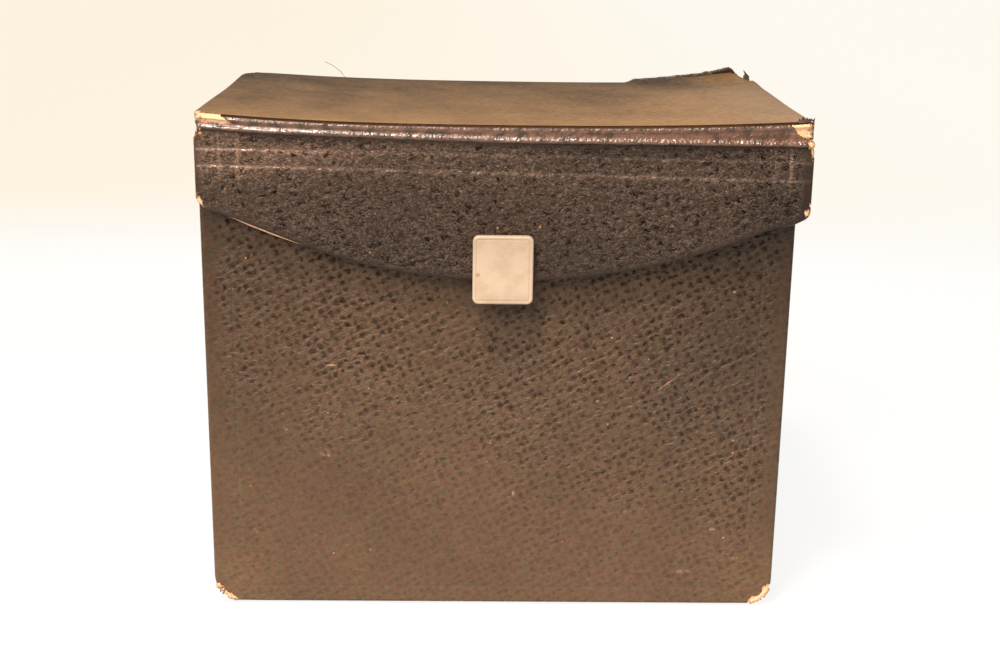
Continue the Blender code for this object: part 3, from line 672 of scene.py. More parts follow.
def case_covering():
    """The case's leatherette, with its tooled frame, worn bottom corners and rubbed edges."""
    corner, rule = 1.2, 76.4  # the upright corners' radius, and the upright tooled lines' place
    half = (CASE_HIGH[:2] - CASE_LOW[:2]) / 2
    reach_x, reach_y = half - corner
    xs = stations(
        -reach_x, reach_x, 2.6, (-reach_x, 9.0 - reach_x, 0.4), (reach_x - 9.0, reach_x, 0.4),
        (-rule - 0.8, -rule + 0.8, 0.2), (rule - 0.8, rule + 0.8, 0.2),
    )
    ys = stations(-reach_y, reach_y, 2.8, (-reach_y, 6 - reach_y, 0.5), (reach_y - 4, reach_y, 0.8))
    outline, lengths = rounded_outline(xs, ys, half, np.zeros(2), corner)
    path = case_profile()
    points, uv = ring_stack(outline, lengths, path)
    faces = grid_quads(points)
    insets = np.array([p[0] for p in path])[:, None]
    outer = insets < 0.01

    # the front and back are a little uneven, and the tooled lines are pressed into the front
    x, y, z = (points[..., i] for i in range(3))
    front = smooth(-y, half[1] - 1.5, half[1] - 0.4) * outer
    sag = 0.14 * rough(points, 38.0, 3.1) * smooth(z, 4, 20) * smooth(z, 142.5, 135)
    upright = bump(np.abs(x), rule, 0.38) * front * smooth(z, 8, 30) * smooth(z, 122, 95)
    level = bump(z, 5.9, 0.38) * front * smooth(np.abs(x), 82, 74)
    tooled = upright * 0.55 + level * 0.5
    past_x, past_y = (np.clip(np.abs(v) - reach, 0, None) for v, reach in ((x, reach_x), (y, reach_y)))
    facing = np.sign(y) * past_y / np.maximum(np.hypot(past_x, past_y), 1e-9)
    pushed = y + facing * (sag - 0.22 * tooled) * outer
    x, z = crushed(x, y, z, half, CASE_LOW[2], insets < 3)
    points = np.stack([x, pushed, z], axis=2)

    ragged = rough(points, 1.3, 5.2, 3)
    to_base = z - CASE_LOW[2]
    bare = np.zeros(x.shape, bool)
    for sx, sy, size in ((-1, -1, 5.9), (1, -1, 7.0), (-1, 1, 2.4), (1, 1, 2.0)):
        to_side = half[0] - sx * x
        away = np.sqrt(to_side**2 + to_base**2 + (0.75 * (sy * half[1] - y)) ** 2)
        bare |= (away < size + 0.7 * ragged) & (np.minimum(to_side, to_base) < 3.0) & (insets < 6)

    fields = case_wear(x, y, z, half, front, outer, tooled, insets < 2)
    look = CASE_LEATHER
    covering = build("case_leather", points, unworn(faces, bare), look, uv, fields, thickness=SHEET)
    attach(covering, "case")
    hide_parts("case_covering")
    worn_board("case_worn_corners", "case", points, faces, bare)


def rounded_plate(name, node, thin, corner, look):
    """A CAD sheet or board of the case with rounded corners, where a crushed corner needs them."""
    low, high = box_mm(node)
    wide = [axis for axis in range(3) if axis != thin]
    half, centre = (high - low)[wide] / 2, (high + low)[wide] / 2
    span = [np.linspace(corner - h, h - corner, 12) for h in half]
    outline, lengths = rounded_outline(*span, half, centre, corner, 8)
    insets = (half.min() - 0.3, 8, 0)
    path = [(inset, low[thin]) for inset in insets] + [(inset, high[thin]) for inset in insets[::-1]]
    points, _ = ring_stack(outline, lengths, path)
    piece = build(name, points[..., np.argsort([*wide, thin])], grid_quads(points), look)
    close_ends(piece)
    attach(piece, "case")
    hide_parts(node)


# ---------------------------------------------------------------- lid


def lid_wear(points, insets, to_front, level):
    """The lid covering's fields: grain, rubbing, gloss, and tone with painted light and shade."""
    x, low, high = points[..., 0], LID_LOW[2], LID_HIGH[2]
    depths = (2, 6, 22, 42, 64, 92)
    # painted light: the top lighter at its front, where the lamps fall on it, and at its right, a
    # painted sheen; darker towards the back
    centre_painted_light = np.interp(to_front, depths, (1.20, 1.14, 0.88, 0.76, 0.56, 0.42))
    right_painted_light = np.interp(to_front, depths, (1.27, 1.27, 1.26, 1.26, 1.10, 0.86))
    to_right = smooth(x, 30, 74)
    painted_light_and_tone = centre_painted_light * (1 - to_right) + right_painted_light * to_right - 1
    # lighter towards the back middle, darker towards the left end
    painted_light_and_tone = painted_light_and_tone + 0.14 * bump(x, 8, 24) * bump(to_front, 66, 20) - 0.10 * smooth(x, -30, -75)
    # painted shade beside the torn covering that lifts at the back right
    painted_light_and_tone = painted_light_and_tone - 0.46 * bump(x, 61, 13) * smooth(to_front, 66, 94)
    painted_light_and_tone = painted_light_and_tone + 0.20 * rough(points, 17.0, 6.6) + 0.14 * rough(points, 6.0, 2.8)
    # only the top gets this painted light and tone; the sides are painted darker, so the lighter lid
    # colour shows on the top alone
    lit_top = smooth(level, low + 0.6, high - 0.8)
    return {
        "grain": 0.75 * smooth(insets, 1.0, 8.0) * (0.6 + 0.4 * smooth(x, -40, 60)),
        "rub": 0.34 * bump(insets, 0, 0.6) * bump(level, high - 0.3, 0.9),
        "gloss": (0.3 + 0.35 * smooth(x, 62, 80)) * to_right * smooth(to_front, 100, 60),
        "painted_light_and_tone": painted_light_and_tone * lit_top - 0.55 * (1 - lit_top),
    }


def lid_covering():
    """The lid's leatherette, bowed like the old lid, and worn through at its corners."""
    corner, foot, r = 1.3, 0.7, 1.1  # radii of the upright corners, the lower and the upper edge
    front = LID_LOW[1] + 0.8
    half = np.array([(LID_HIGH[0] - LID_LOW[0]) / 2 - 0.6, (LID_HIGH[1] - front) / 2])
    centre = np.array([LID_MIDDLE - 0.35, (LID_HIGH[1] + front) / 2])
    reach_x, reach_y = half - corner
    xs = stations(-reach_x, reach_x, 2.4, (-reach_x, 9 - reach_x, 0.5), (reach_x - 5, reach_x, 0.6))
    ys = stations(-reach_y, reach_y, 2.4, (-reach_y, 5 - reach_y, 0.6), (reach_y - 5, reach_y, 0.6))
    outline, lengths = rounded_outline(xs, ys, half, centre, corner)
    low, high = LID_LOW[2], LID_HIGH[2]
    bend = np.radians((18, 36, 54, 72, 90))
    path = [(inset, low) for inset in (12, 8, 4, 2, foot)]
    path += [(foot - foot * math.sin(a), low + foot - foot * math.cos(a)) for a in bend]
    path += [(0, (low + high) / 2), (0, high - r)]
    path += [(r - r * math.cos(a), high - r + r * math.sin(a)) for a in bend]
    path += [(inset, high) for inset in (1.6, 2.4, 3.4, 4.8, *np.arange(7, half[1] - 1, 2.2))]
    path += [(half[1] - 0.25, high), (half[1] - 0.2, high)]
    points, _ = ring_stack(outline, lengths, path)
    faces = grid_quads(points)
    points[-1, :, 1] = centre[1]  # the last row closes the top along its middle
    insets = np.array([p[0] for p in path])[:, None]

    # the grain map is the plan, with the edges folded out round it
    x, y, flat_z = (points[..., i] for i in range(3))
    plan = points[..., :2]
    outward = plan - np.clip(plan, centre - half + 1.5, centre + half - 1.5)
    outward /= np.maximum(np.linalg.norm(outward, axis=2, keepdims=True), 1e-6)
    over = np.where(flat_z < high - 0.01, high - flat_z, 0)
    uv = plan + outward * over[..., None]

    # the top bows and waves, with fine ripples that fan out towards the right-hand end
    top = smooth(insets, 0.9, 4.0) * (flat_z > high - 0.01)
    wave = 0.10 * rough(points, 24.0, 8.3) + 0.05 * rough(points, 7.0, 1.3)
    fan = np.sin((y - 0.18 * (x - 60)) * 2.1 + 1.2 * rough(points, 9.0, 4.4)) * smooth(x, 48, 80)
    z = flat_z + lift(x, y) + (wave + 0.045 * fan) * top
    z = z + 0.62 * torn_lift(x) * smooth(y, 35, LID_HIGH[1]) * (flat_z > high - 1.2)
    # the back left corner is bent and rounded
    bent = np.exp(-(((x - centre[0] + half[0]) ** 2 + (y - LID_HIGH[1]) ** 2) / 5.5**2))
    x, y, z = x + 1.6 * bent, y - 0.8 * bent, z - 0.5 * bent
    # its left edge swings out towards the back, its right edge is worn a little hollow
    swing = 0.6 * bump(y, 2, 26) * smooth(x, -62, -86)
    x = x + swing + (0.8 * smooth(y, 22, 44) - 0.5 * bump(y, -22, 26)) * smooth(x, 62, 86)
    points = np.stack([x, y, z], axis=2)
    level = z - lift(x, y)

    ragged = rough(points, 1.1, 2.6, 3)
    bare = np.zeros(x.shape, bool)
    for sx, sy, size in ((-1, -1, 3.2), (1, -1, 3.8), (1, 1, 2.6), (-1, 1, 1.4)):
        cx, cy = centre[0] + sx * half[0], centre[1] + sy * half[1]
        away = np.sqrt((x - cx) ** 2 + (y - cy) ** 2 + (0.5 * (z - low - 2)) ** 2)
        bare |= (away < size + 1.2 * ragged) & (level < high - 0.35) & (insets < 1)
    at_front = (y < centre[1] - half[1] + 0.9) & (level < high - 0.12)
    bare |= at_front & (x < centre[0] - half[0] + 6.6 + 0.8 * ragged)

    fields = lid_wear(points, insets, y - (centre[1] - half[1]), level)
    look = LID_LEATHER
    covering = build("lid_leather", points, unworn(faces, bare), look, uv, fields, thickness=SHEET)
    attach(covering, "lid")
    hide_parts("lid_covering")
    worn_board("lid_worn_corners", "lid", points, faces, bare)


def bowed_block(name, node, look, radius, trim=(0, 0, 0)):
    """A flat board or sheet of the lid, its CAD node's size less a trim, and bowed with the lid."""
    low, high = box_mm(node)
    low, high = low + trim, high - trim
    half, centre = (high[:2] - low[:2]) / 2, (high[:2] + low[:2]) / 2
    xs = stations(-half[0] + 0.4, half[0] - 0.4, 6.0)
    ys = stations(-half[1] + 0.4, half[1] - 0.4, 8.0)
    outline, lengths = rounded_outline(xs, ys, half, centre, 0.4, 3)
    deep = half[1] - 0.3
    path = [(deep, low[2]), (20, low[2]), (radius, low[2]), (0, low[2] + radius)]
    path += [(0, high[2] - radius), (radius, high[2]), (20, high[2]), (deep, high[2])]
    points, uv = ring_stack(outline, lengths, path)
    points[..., 2] += lift(points[..., 0], points[..., 1])
    piece = build(name, points, grid_quads(points), look, uv)
    close_ends(piece)
    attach(piece, "lid")
    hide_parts(node)


# ---------------------------------------------------------------- flap and joint

FLAP_MIDDLE = (FLAP_LOW[0] + FLAP_HIGH[0]) / 2
FLAP_HALF = (FLAP_HIGH[0] - FLAP_LOW[0]) / 2
FLAP_DROP = 124.5 - FLAP_LOW[2]  # how far the lower edge's middle hangs below its ends
FLAP_CURVE = (FLAP_HALF**2 + FLAP_DROP**2) / (2 * FLAP_DROP)  # the lower edge's radius
FLAP_CURVE_Z = FLAP_LOW[2] + FLAP_CURVE
FLAP_ACROSS = stations(-1, 1, 0.0092, (-1, -0.82, 0.0034), (-0.82, -0.68, 0.0048), (0.80, 1, 0.0036))
FLAP_DOWN = stations(0, 1, 0.02, (0.0, 0.20, 0.0062), (0.2, 0.62, 0.0085))
FLAP_EDGE = 0.9  # the radius of the fold round the flap's edges
FOLD = np.radians((18, 36, 54, 72, 90))  # steps of that fold's quarter turn


def ridge_height(x):
    """Height of the joint's lower ridge, which slants down to the right."""
    places = (-85, -66, -27, 1, 43, 80, 88)
    return np.interp(x, places, (146.6, 145.5, 144.2, 143.6, 143.5, 143.3, 143.2))


def top_height(x):
    """Height of the joint's upper edge, under the lid's top."""
    return LID_HIGH[2] - 0.25 + lift(x)


def lower_edge(inset):
    """The flap's lower edge, (x, z) from left to right with its corner arcs."""
    r = max(3.0 - inset, 0.2)
    u = FLAP_HALF - inset - r
    v = FLAP_CURVE_Z - math.sqrt((FLAP_CURVE - inset - r) ** 2 - u**2)
    tangent = math.degrees(math.atan2(v - FLAP_CURVE_Z, u))
    sweep = np.radians(-90) + (np.radians(tangent) + math.pi / 2) * FLAP_ACROSS
    arcs = (
        (-u, v, r, np.radians(np.linspace(180, 180 - tangent, 10))),
        (0, FLAP_CURVE_Z, FLAP_CURVE - inset, sweep[1:-1]),
        (u, v, r, np.radians(np.linspace(tangent, 0, 10))),
    )
    x = np.concatenate([cx + radius * np.cos(a) for cx, _, radius, a in arcs]) + FLAP_MIDDLE
    z = np.concatenate([cz + radius * np.sin(a) for _, cz, radius, a in arcs])
    z += 1.2 * bump(x, -66, 17) * smooth(x, -84, -74)
    z -= 1.6 * smooth(x, 76, 84) + 0.3 * x / FLAP_HALF
    return np.stack([x, z], axis=1)


def flap_face():
    """(points, tooled): the face of the flap and the joint in a grid, and how far it is tooled."""
    curve = lower_edge(FLAP_EDGE)
    x = np.broadcast_to(curve[:, 0], (len(FLAP_DOWN), len(curve))).copy()
    top = top_height(x)
    z = top + (curve[:, 1] - top) * FLAP_DOWN[:, None]
    ridge = ridge_height(x)
    place = np.stack([x, np.zeros_like(x), z], axis=2)
    below = smooth(z, ridge - 0.8, ridge - 2.0)

    # the tooled frame: two lines across, and two uprights at each end
    slant = (x - FLAP_LOW[0]) / (FLAP_HIGH[0] - FLAP_LOW[0])
    line_a = bump(z, 140.6 - 2.6 * slant, 0.38) * (0.35 + 0.65 * smooth(x, -40, -66))
    line_b = bump(z, 135.9 - 3.0 * slant, 0.38) * (0.55 + 0.45 * smooth(x, -30, -60))
    line_b = line_b * (1 - 0.35 * smooth(x, 60, 84))
    reach = smooth(z, 129, 134) * smooth(z, ridge - 0.5, ridge - 1.5)
    strengths = ((-78.1, 0.75), (-72.9, 0.65), (77.2, 0.4), (81.4, 0.7))
    uprights = sum(strength * bump(x, at, 0.40) for at, strength in strengths)
    tooled = np.clip((line_a + line_b) * below + uprights * reach, 0, 1)

    # two ridges along the joint with a groove under them, and the top edge curled back
    uneven = 1 + 0.5 * rough(place, 6.0, 9.3)
    out = 0.95 * bump(z, ridge, 0.62) * (0.5 + 0.5 * uneven) + 0.42 * bump(z, top - 1.35, 0.42) * uneven
    out -= 0.22 * bump(z, ridge - 1.45, 0.45)
    curl = np.clip((z - (top - 0.75)) / 0.75, 0, 1)
    out -= 0.75 * (1 - np.sqrt(np.clip(1 - curl**2, 0, 1)))
    out += 0.10 * rough(place, 1.6, 6.1, 3) * smooth(z, ridge - 1.6, ridge - 0.6)
    out -= 0.42 * tooled
    out += 0.10 * rough(place, 30.0, 2.2) * below
    return np.stack([x, FLAP_LOW[1] - out, z], axis=2), tooled


def flap_wrap(face):
    """(points, faces) of the whole sheet: its face, and what goes on round its edges."""
    left, right, front = FLAP_LOW[0], FLAP_HIGH[0], FLAP_LOW[1]
    deep = FLAP_HIGH[1] - front
    path = [(FLAP_EDGE - FLAP_EDGE * math.sin(a), FLAP_EDGE - FLAP_EDGE * math.cos(a)) for a in FOLD]
    path += [(0, 1.7), (0, 2.5), (0, deep - 0.5)]
    back_fold = np.radians((30, 60, 90))
    path += [(0.5 - 0.5 * math.cos(a), deep - 0.5 + 0.5 * math.sin(a)) for a in back_fold]
    path += [(d, deep) for d in (1.2, 2.4, 4.0, 6.0)]
    n_rows, n_cols = face.shape[:2]
    index = np.arange(n_rows * n_cols).reshape(n_rows, n_cols)
    border = np.concatenate([index[:, 0], index[-1, 1:], index[-2::-1, -1]])
    points = [face.reshape(-1, 3)]
    edge = points[0][border]
    lid_part = smooth(edge[:, 2], CREASE[2] - 0.4, CREASE[2] + 0.5)
    lid_part[n_rows : n_rows + n_cols - 2] = 0
    for step, (inset, depth) in enumerate(path):
        curve = lower_edge(inset)
        ends = np.array([left + inset, right - inset])
        tops = top_height(ends)
        column = FLAP_DOWN[:, None] * (curve[[0, -1], 1] - tops) + tops
        x = np.concatenate([np.full(n_rows, ends[0]), curve[1:, 0], np.full(n_rows - 1, ends[1])])
        z = np.concatenate([column[:, 0], curve[1:, 1], column[-2::-1, 1]])
        # the part that the lid carries ends just behind the face, and isn't lapped round
        short = (0.35, 1.35) if step >= len(FOLD) else (inset, depth)
        x = x - np.sign(x - FLAP_MIDDLE) * lid_part * (short[0] - inset)
        back_by = depth + (short[1] - depth) * lid_part
        y = front + back_by - (front - edge[:, 1]) * (1 - min(depth / 1.2, 1))
        points.append(np.stack([x, y, z], axis=1))
    flat = np.concatenate(points)
    wrap = np.vstack([border, np.arange(index.size, len(flat)).reshape(len(path), -1)])
    faces = np.concatenate([quads_of(index, flip=True), quads_of(wrap, flip=True)])
    drawn_in = smooth(np.abs(flat[:, 0] - FLAP_MIDDLE), 79, FLAP_HALF)
    drawn_in = drawn_in * smooth(flat[:, 2], 143.2, 144.6)
    flat[:, 0] -= np.sign(flat[:, 0] - FLAP_MIDDLE) * drawn_in
    return flat, faces


def flap_wear(x, z, tooled, on_face):
    """The flap covering's fields: grain, rubbing, gloss, the joint's band and cracks, and tone with
    painted light and shade.
    """
    left, right = FLAP_LOW[0], FLAP_HIGH[0]
    ridge, top = ridge_height(x), top_height(x)
    to_left, to_right = x - left, right - x
    to_curve = z - np.interp(x, *lower_edge(0).T)
    grain = smooth(z, ridge - 0.9, ridge - 2.1)
    grain = grain * smooth(to_left, 0.6, 2.6) * smooth(to_right, 1.8, 4.6)
    grain = grain * (0.3 + 0.7 * smooth(to_curve, 0.6, 3.0))
    grain = grain * (1 - 0.9 * tooled) * np.where(on_face, 1, 0.25)

    joint = smooth(z, ridge - 1.2, ridge - 0.6)
    lip = on_face * smooth(top - z, 0.7, 0.3)
    crest = np.maximum(bump(z, ridge, 0.75), bump(z, top - 1.35, 0.55))
    gloss = joint * (1 - lip) * (0.15 + 0.85 * crest) - 2.0 * lip + 1.1 * tooled
    band = smooth(z, ridge - 0.9, ridge - 0.1) * smooth(z, top - 0.6, top - 1.0)
    crack = joint * (0.55 + 0.45 * smooth(x, -30, 25))

    # painted shade on the lip under the lid's edge, painted highlights along the tooled lines, and a
    # paler joint
    painted_light_and_tone = -0.30 * lip + 2.4 * tooled + 0.5 * joint * (1 - lip)
    # painted light on the flap's upper left, and painted shade in a band under the joint's ridge
    shade = smooth(z, ridge - 5.0, ridge - 1.8) * smooth(x, -77, -68)
    above = 0.70 * smooth(x, -18, -62) * smooth(z, 133, 138.5) * (1 - shade)
    above = above - 0.18 * smooth(x, -30, -50) * shade
    above = above - 0.36 * smooth(x, -10, 25) * smooth(x, 80, 68) * smooth(z, 136, 139)
    painted_light_and_tone = painted_light_and_tone + above * (1 - joint)
    # more painted light at the far left end; darker lower down; painted shade at the right under the
    # ridge, and darker towards the lower edge
    painted_light_and_tone = painted_light_and_tone + 0.50 * smooth(x, -58, -70) * smooth(z, 130, 134.5) * smooth(z, 138, 135)
    painted_light_and_tone = painted_light_and_tone - 0.16 * smooth(z, 134, 126) * smooth(x, -80, -66)
    painted_light_and_tone = painted_light_and_tone - 0.24 * smooth(x, 62, 80) * smooth(z, 139, 136) - 0.10 * smooth(z, 120, 112)

    rub = 0.42 * bump(np.minimum(np.minimum(to_left, to_right), to_curve), 0, 0.6)
    # rubbed places: (strength, x, half width, z, half height)
    for strength, at_x, wide, at_z, tall in (
        (0.45, left + 1.2, 2.2, 125.2, 2.6), (0.50, right - 1.2, 2.0, 123.9, 1.6),
        (0.40, left, 1.6, 145, 2.0), (0.34, 27, 0.9, 137.5, 1.8),
    ):
        rub = rub + strength * bump(x, at_x, wide) * bump(z, at_z, tall)
    return {"grain": grain, "rub": rub, "gloss": gloss, "band": band, "crack": crack, "painted_light_and_tone": painted_light_and_tone}


def flap_bare(flat):
    """Where the sheet is worn through: at the joint's two ends and the flap's lower corners."""
    x, depth, z = flat[:, 0], flat[:, 1] - FLAP_LOW[1], flat[:, 2]
    ragged, soft = rough(flat, 0.9, 4.7, 3), rough(flat, 2.6, 4.7, 2)
    below_top = top_height(x) - z
    to_left, to_right = x - FLAP_LOW[0], FLAP_HIGH[0] - x
    highest = 3.4 * np.clip((to_left - 6.4) / 4.8, 0, 1) + 0.25 * soft - 1.0
    bare = (to_left < 11.6) & (below_top > highest) & (below_top < 2.4 + 0.5 * soft + 0.03 * to_left)
    bare |= np.hypot(to_left - 1.9, (below_top - 5.8) * 0.9) < 0.55 + 0.4 * ragged
    lowest = np.interp(to_right, (1.4, 5.4, 7.4), (5.6, 3.2, 0.8)) + 0.35 * soft
    bare |= (to_right < 7.4) & (below_top > 0.2 + 0.3 * soft) & (below_top < lowest)
    bare |= (to_right < 2.4 + 0.6 * soft) & (below_top > 5.3 + 0.3 * ragged) & (below_top < 8.0)
    bare |= (to_right < 1.0 + 0.4 * ragged) & (below_top > 7.5) & (below_top < 10.6)
    nick = np.hypot(to_left - 0.9, (z - 125.0) * 0.45) < 1.0 + 0.5 * ragged
    nick |= np.hypot(1.0 - to_right, (z - 124.0) * 0.8) < 0.9 + 0.5 * ragged
    return (bare | (nick & (depth < 2.5))) & (depth < 3.0)


def flap_sheet():
    """The flap's leatherette in one sheet with the joint: ridges above, and lapped round its edges."""
    face, tooled = flap_face()
    flat, faces = flap_wrap(face)
    x, y, z = flat.T
    on_face = np.arange(len(flat)) < tooled.size
    fields = flap_wear(x, z, np.pad(tooled.ravel(), (0, len(flat) - tooled.size)), on_face)
    bare = flap_bare(flat)
    folded = np.sign(x - FLAP_MIDDLE) * np.clip(y - FLAP_LOW[1], 0, 9)
    covering = build(
        "flap_leather", flat, unworn(faces, bare), FLAP_LEATHER, np.stack([x + folded, z], axis=1),
        fields, merge=False, thickness=SHEET,
    )
    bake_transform(covering)
    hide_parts("flap_covering", "front_joint_strip")
    worn_board("joint_worn_board", "lid", flat, faces, bare, z > CREASE[2] - 0.2)
    worn_board("flap_worn_board", "flap", flat, faces, bare, z < CREASE[2])


def top_turn_in():
    """The flap's covering where it is turned in over the top edge of the flap's board."""
    low, high = box_mm("flap_board")
    back, top = high[1] + 0.45, high[2] + 0.3
    profile = [(back, high[2] - d) for d in (6.2, 4, 2)] + [(back, top - 0.4), (back - 0.12, top - 0.12)]
    profile = np.array(profile + [(y, top) for y in (back - 0.4, back - 1.2, low[1] + 0.4)])
    xs = np.linspace(FLAP_LOW[0] + 4.5, FLAP_HIGH[0] - 4.5, 90)
    points = swept(profile, xs)
    faces, uv, fields = grid_quads(points, flip=True), points[..., (0, 2)], {"grain": 0.25}
    piece = build("flap_top_turn_in", points, faces, FLAP_LEATHER, uv, fields, thickness=0.35)
    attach(piece, "flap")


# ---------------------------------------------------------------- cloth hinges


def rear_cloth():
    """The cloth hinge on the back, whose upper edge is torn and lifts towards the right."""
    low, high = box_mm("rear_hinge_cloth")
    xs = stations(low[0], high[0], 1.6, (42, high[0], 0.5), (77, high[0], 0.3))
    t = stations(0, 1, 0.08, (0.80, 1.0, 0.012))[:, None]
    x = np.broadcast_to(xs, (len(t), len(xs)))
    along = np.stack([x, 0 * x, 0 * x], axis=2)
    torn = torn_lift(x) * (1 + 0.10 * rough(along, 2.2, 3.3, 3))
    lid_edge = LID_HIGH[2] + lift(x, LID_HIGH[1])
    bottom = low[2] + 0.35 * rough(along, 5.0, 1.7)
    top = lid_edge - 0.4 + torn - 2.2 * smooth(x, low[0] + 4.0, low[0]) ** 2
    z = bottom + (top - bottom) * t
    y = high[1] - 0.12 * np.clip(z - (lid_edge - 0.6), 0, None) * torn
    y = y + 0.10 * rough(np.stack([x, y, z], axis=2), 14.0, 2.9) * smooth(z, 119, 124)
    points = np.stack([x, y, z], axis=2)
    rub = 0.30 * bump(z, LID_CREASE[2], 1.3) + 0.35 * bump(t, 0, 0.02) + 0.25 * bump(t, 1, 0.012)
    faces, uv, fields = grid_quads(points, flip=True), points[..., (0, 2)], {"grain": 0.6, "rub": rub}
    piece = build("rear_hinge_leather", points, faces, PLAIN_LEATHER, uv, fields, thickness=0.4)
    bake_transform(piece)
    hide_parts("rear_hinge_cloth")


def inner_cloth():
    """The linen joint inside: up the back wall, over its top to the hinge, and back under the lid."""
    low, high = box_mm("inner_hinge_cloth")
    wall_y, fold_y = high[1] - 0.25, LID_CREASE[1] - 0.7
    on_wall, on_lid = CASE_HIGH[2] + 0.11, CASE_HIGH[2] + 0.34
    path = [(wall_y, z, 0) for z in np.linspace(low[2], on_wall - 0.6, 22)]
    path += [(wall_y + 0.18, on_wall - 0.18, 0)]
    path += [(y, on_wall, 0) for y in np.linspace(wall_y + 0.6, fold_y, 10)]
    for t in np.linspace(0.1, 0.9, 9):
        path += [(fold_y + 0.3 * math.sin(math.pi * t), on_wall + (on_lid - on_wall) * t, t)]
    path += [(y, on_lid, 1) for y in np.linspace(fold_y, low[1], 30)]
    path = np.array(path)
    points = swept(path, np.linspace(low[0], high[0], 80))
    points[..., 2] += lift(points[..., 0], points[..., 1]) * path[:, 2:]
    points[..., 1] += np.where(points[..., 2] < on_wall - 1, 0.05 * rough(points, 6.0, 5.5), 0)
    steps = np.linalg.norm(np.diff(path[:, :2], axis=0), axis=1)
    along = np.concatenate([[0], np.cumsum(steps)])[:, None]
    uv = np.stack(np.broadcast_arrays(points[..., 0], along), axis=2)
    faces = grid_quads(points)
    piece = build("inner_hinge_linen", points, faces, LINEN, uv, thickness=0.2, offset=0.0)
    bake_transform(piece)
    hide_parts("inner_hinge_cloth")


# ---------------------------------------------------------------- clasp


def clasp():
    """The clasp's plate: a bevelled slab with a worn, unlettered engraved border."""
    corner, bevel, groove = 1.7, 0.55, 1.05  # the corners' radius, the bevel's, the border's inset
    centre = np.array([LID_MIDDLE - 0.2, CLASP_MIDDLE])
    half = np.array([CLASP_HIGH[0] - CLASP_LOW[0] - 0.4, CLASP_HIGH[2] - CLASP_LOW[2]]) / 2
    xs, zs = (np.linspace(-1, 1, count) * (h - corner) for count, h in zip((25, 27), half))
    outline, lengths = rounded_outline(xs, zs, half, centre, corner, 9)
    front = CLASP_LOW[1]
    deep = FLAP_LOW[1] - 0.25 - front
    bend = np.radians((15, 30, 45, 60, 75, 90))
    path = [(5.0, deep), (0.3, deep), (0.05, deep - 0.15), (0, deep - 0.4)]
    path += [(0, bevel + 0.2), (0, bevel)]
    path += [(bevel - bevel * math.cos(a), bevel - bevel * math.sin(a)) for a in bend]
    path += [(0.75, 0.0), (groove - 0.16, 0.0), (groove - 0.06, 0.06), (groove + 0.06, 0.06)]
    path += [(groove + 0.16, 0.0), (1.6, -0.01), (2.6, -0.03), (4.2, -0.05), (6.5, -0.06)]
    path += [(half[0] - 0.25, -0.06)]
    points, _ = ring_stack(outline, lengths, path)
    points = np.stack([points[..., 0], front + points[..., 2], points[..., 1]], axis=2)
    fields = {"border": bump([[p[0]] for p in path], groove, 0.14)}
    uv = points[..., (0, 2)]
    piece = build("clasp_plate_face", points, grid_quads(points), IVORY, uv, fields)
    close_ends(piece)
    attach(piece, "flap")
    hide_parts("clasp_plate")


def prong_tips():
    """The prongs' clenched ends, on the backing inside the flap."""
    face = box_mm("clasp_backing")[1][1]
    steps, sides = 7, 8
    turn = 2 * math.pi * np.arange(sides) / sides
    t = np.linspace(0, 1, steps)[:, None]
    width = 0.62 * np.sqrt(np.maximum(1 - t**3, 0.06))
    rise = 0.22 * np.sin(math.pi * np.minimum(t * 1.4 + 0.15, 1.0))
    ring = np.arange(steps * sides).reshape(steps, sides)
    tube = quads_of(np.hstack([ring, ring[:, :1]])).tolist() + ring[[0, -1]].tolist()
    points, faces = [], []
    for side in (-1, 1):
        for z, lean in ((106.2, 1), (115.0, -1)):
            faces += [[len(points) * ring.size + corner for corner in quad] for quad in tube]
            x = LID_MIDDLE + side * 6.6 + width * np.cos(turn)
            y = face - 0.12 + rise * 0.6 + 0.16 * np.sin(turn)
            points.append(np.stack(np.broadcast_arrays(x, y, z + lean * 2.4 * t), axis=2))
    piece = build("clasp_prong_tips", points, faces, STEEL, merge=False)
    close_ends(piece)
    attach(piece, "flap")


# ---------------------------------------------------------------- torn and frayed bits


def ribbon(name, middle, across, look, thickness=0.25, ragged=0.0):
    """A torn strip of the lid along a line of points, each with the half-width vector across it."""
    middle, across = np.array(middle, float), np.array(across, float)
    fine = np.linspace(0, len(middle) - 1, 6 * (len(middle) - 1) + 1)
    whole = np.arange(len(middle))
    line, wide = (
        np.stack([np.interp(fine, whole, path[:, i]) for i in range(3)], axis=1)[:, None]
        for path in (middle, across)
    )
    points = line + wide * np.linspace(-1, 1, 7)[:, None]
    if ragged:
        points = line + (points - line) * (1 + ragged * rough(points, 0.8, 3.9, 2))[..., None]
    faces, uv, fields = grid_quads(points), points[..., (0, 2)], {"grain": 0.3, "rub": 0.1}
    piece = build(name, points, faces, look, uv, fields, False, thickness, offset=0.0)
    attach(piece, "lid")


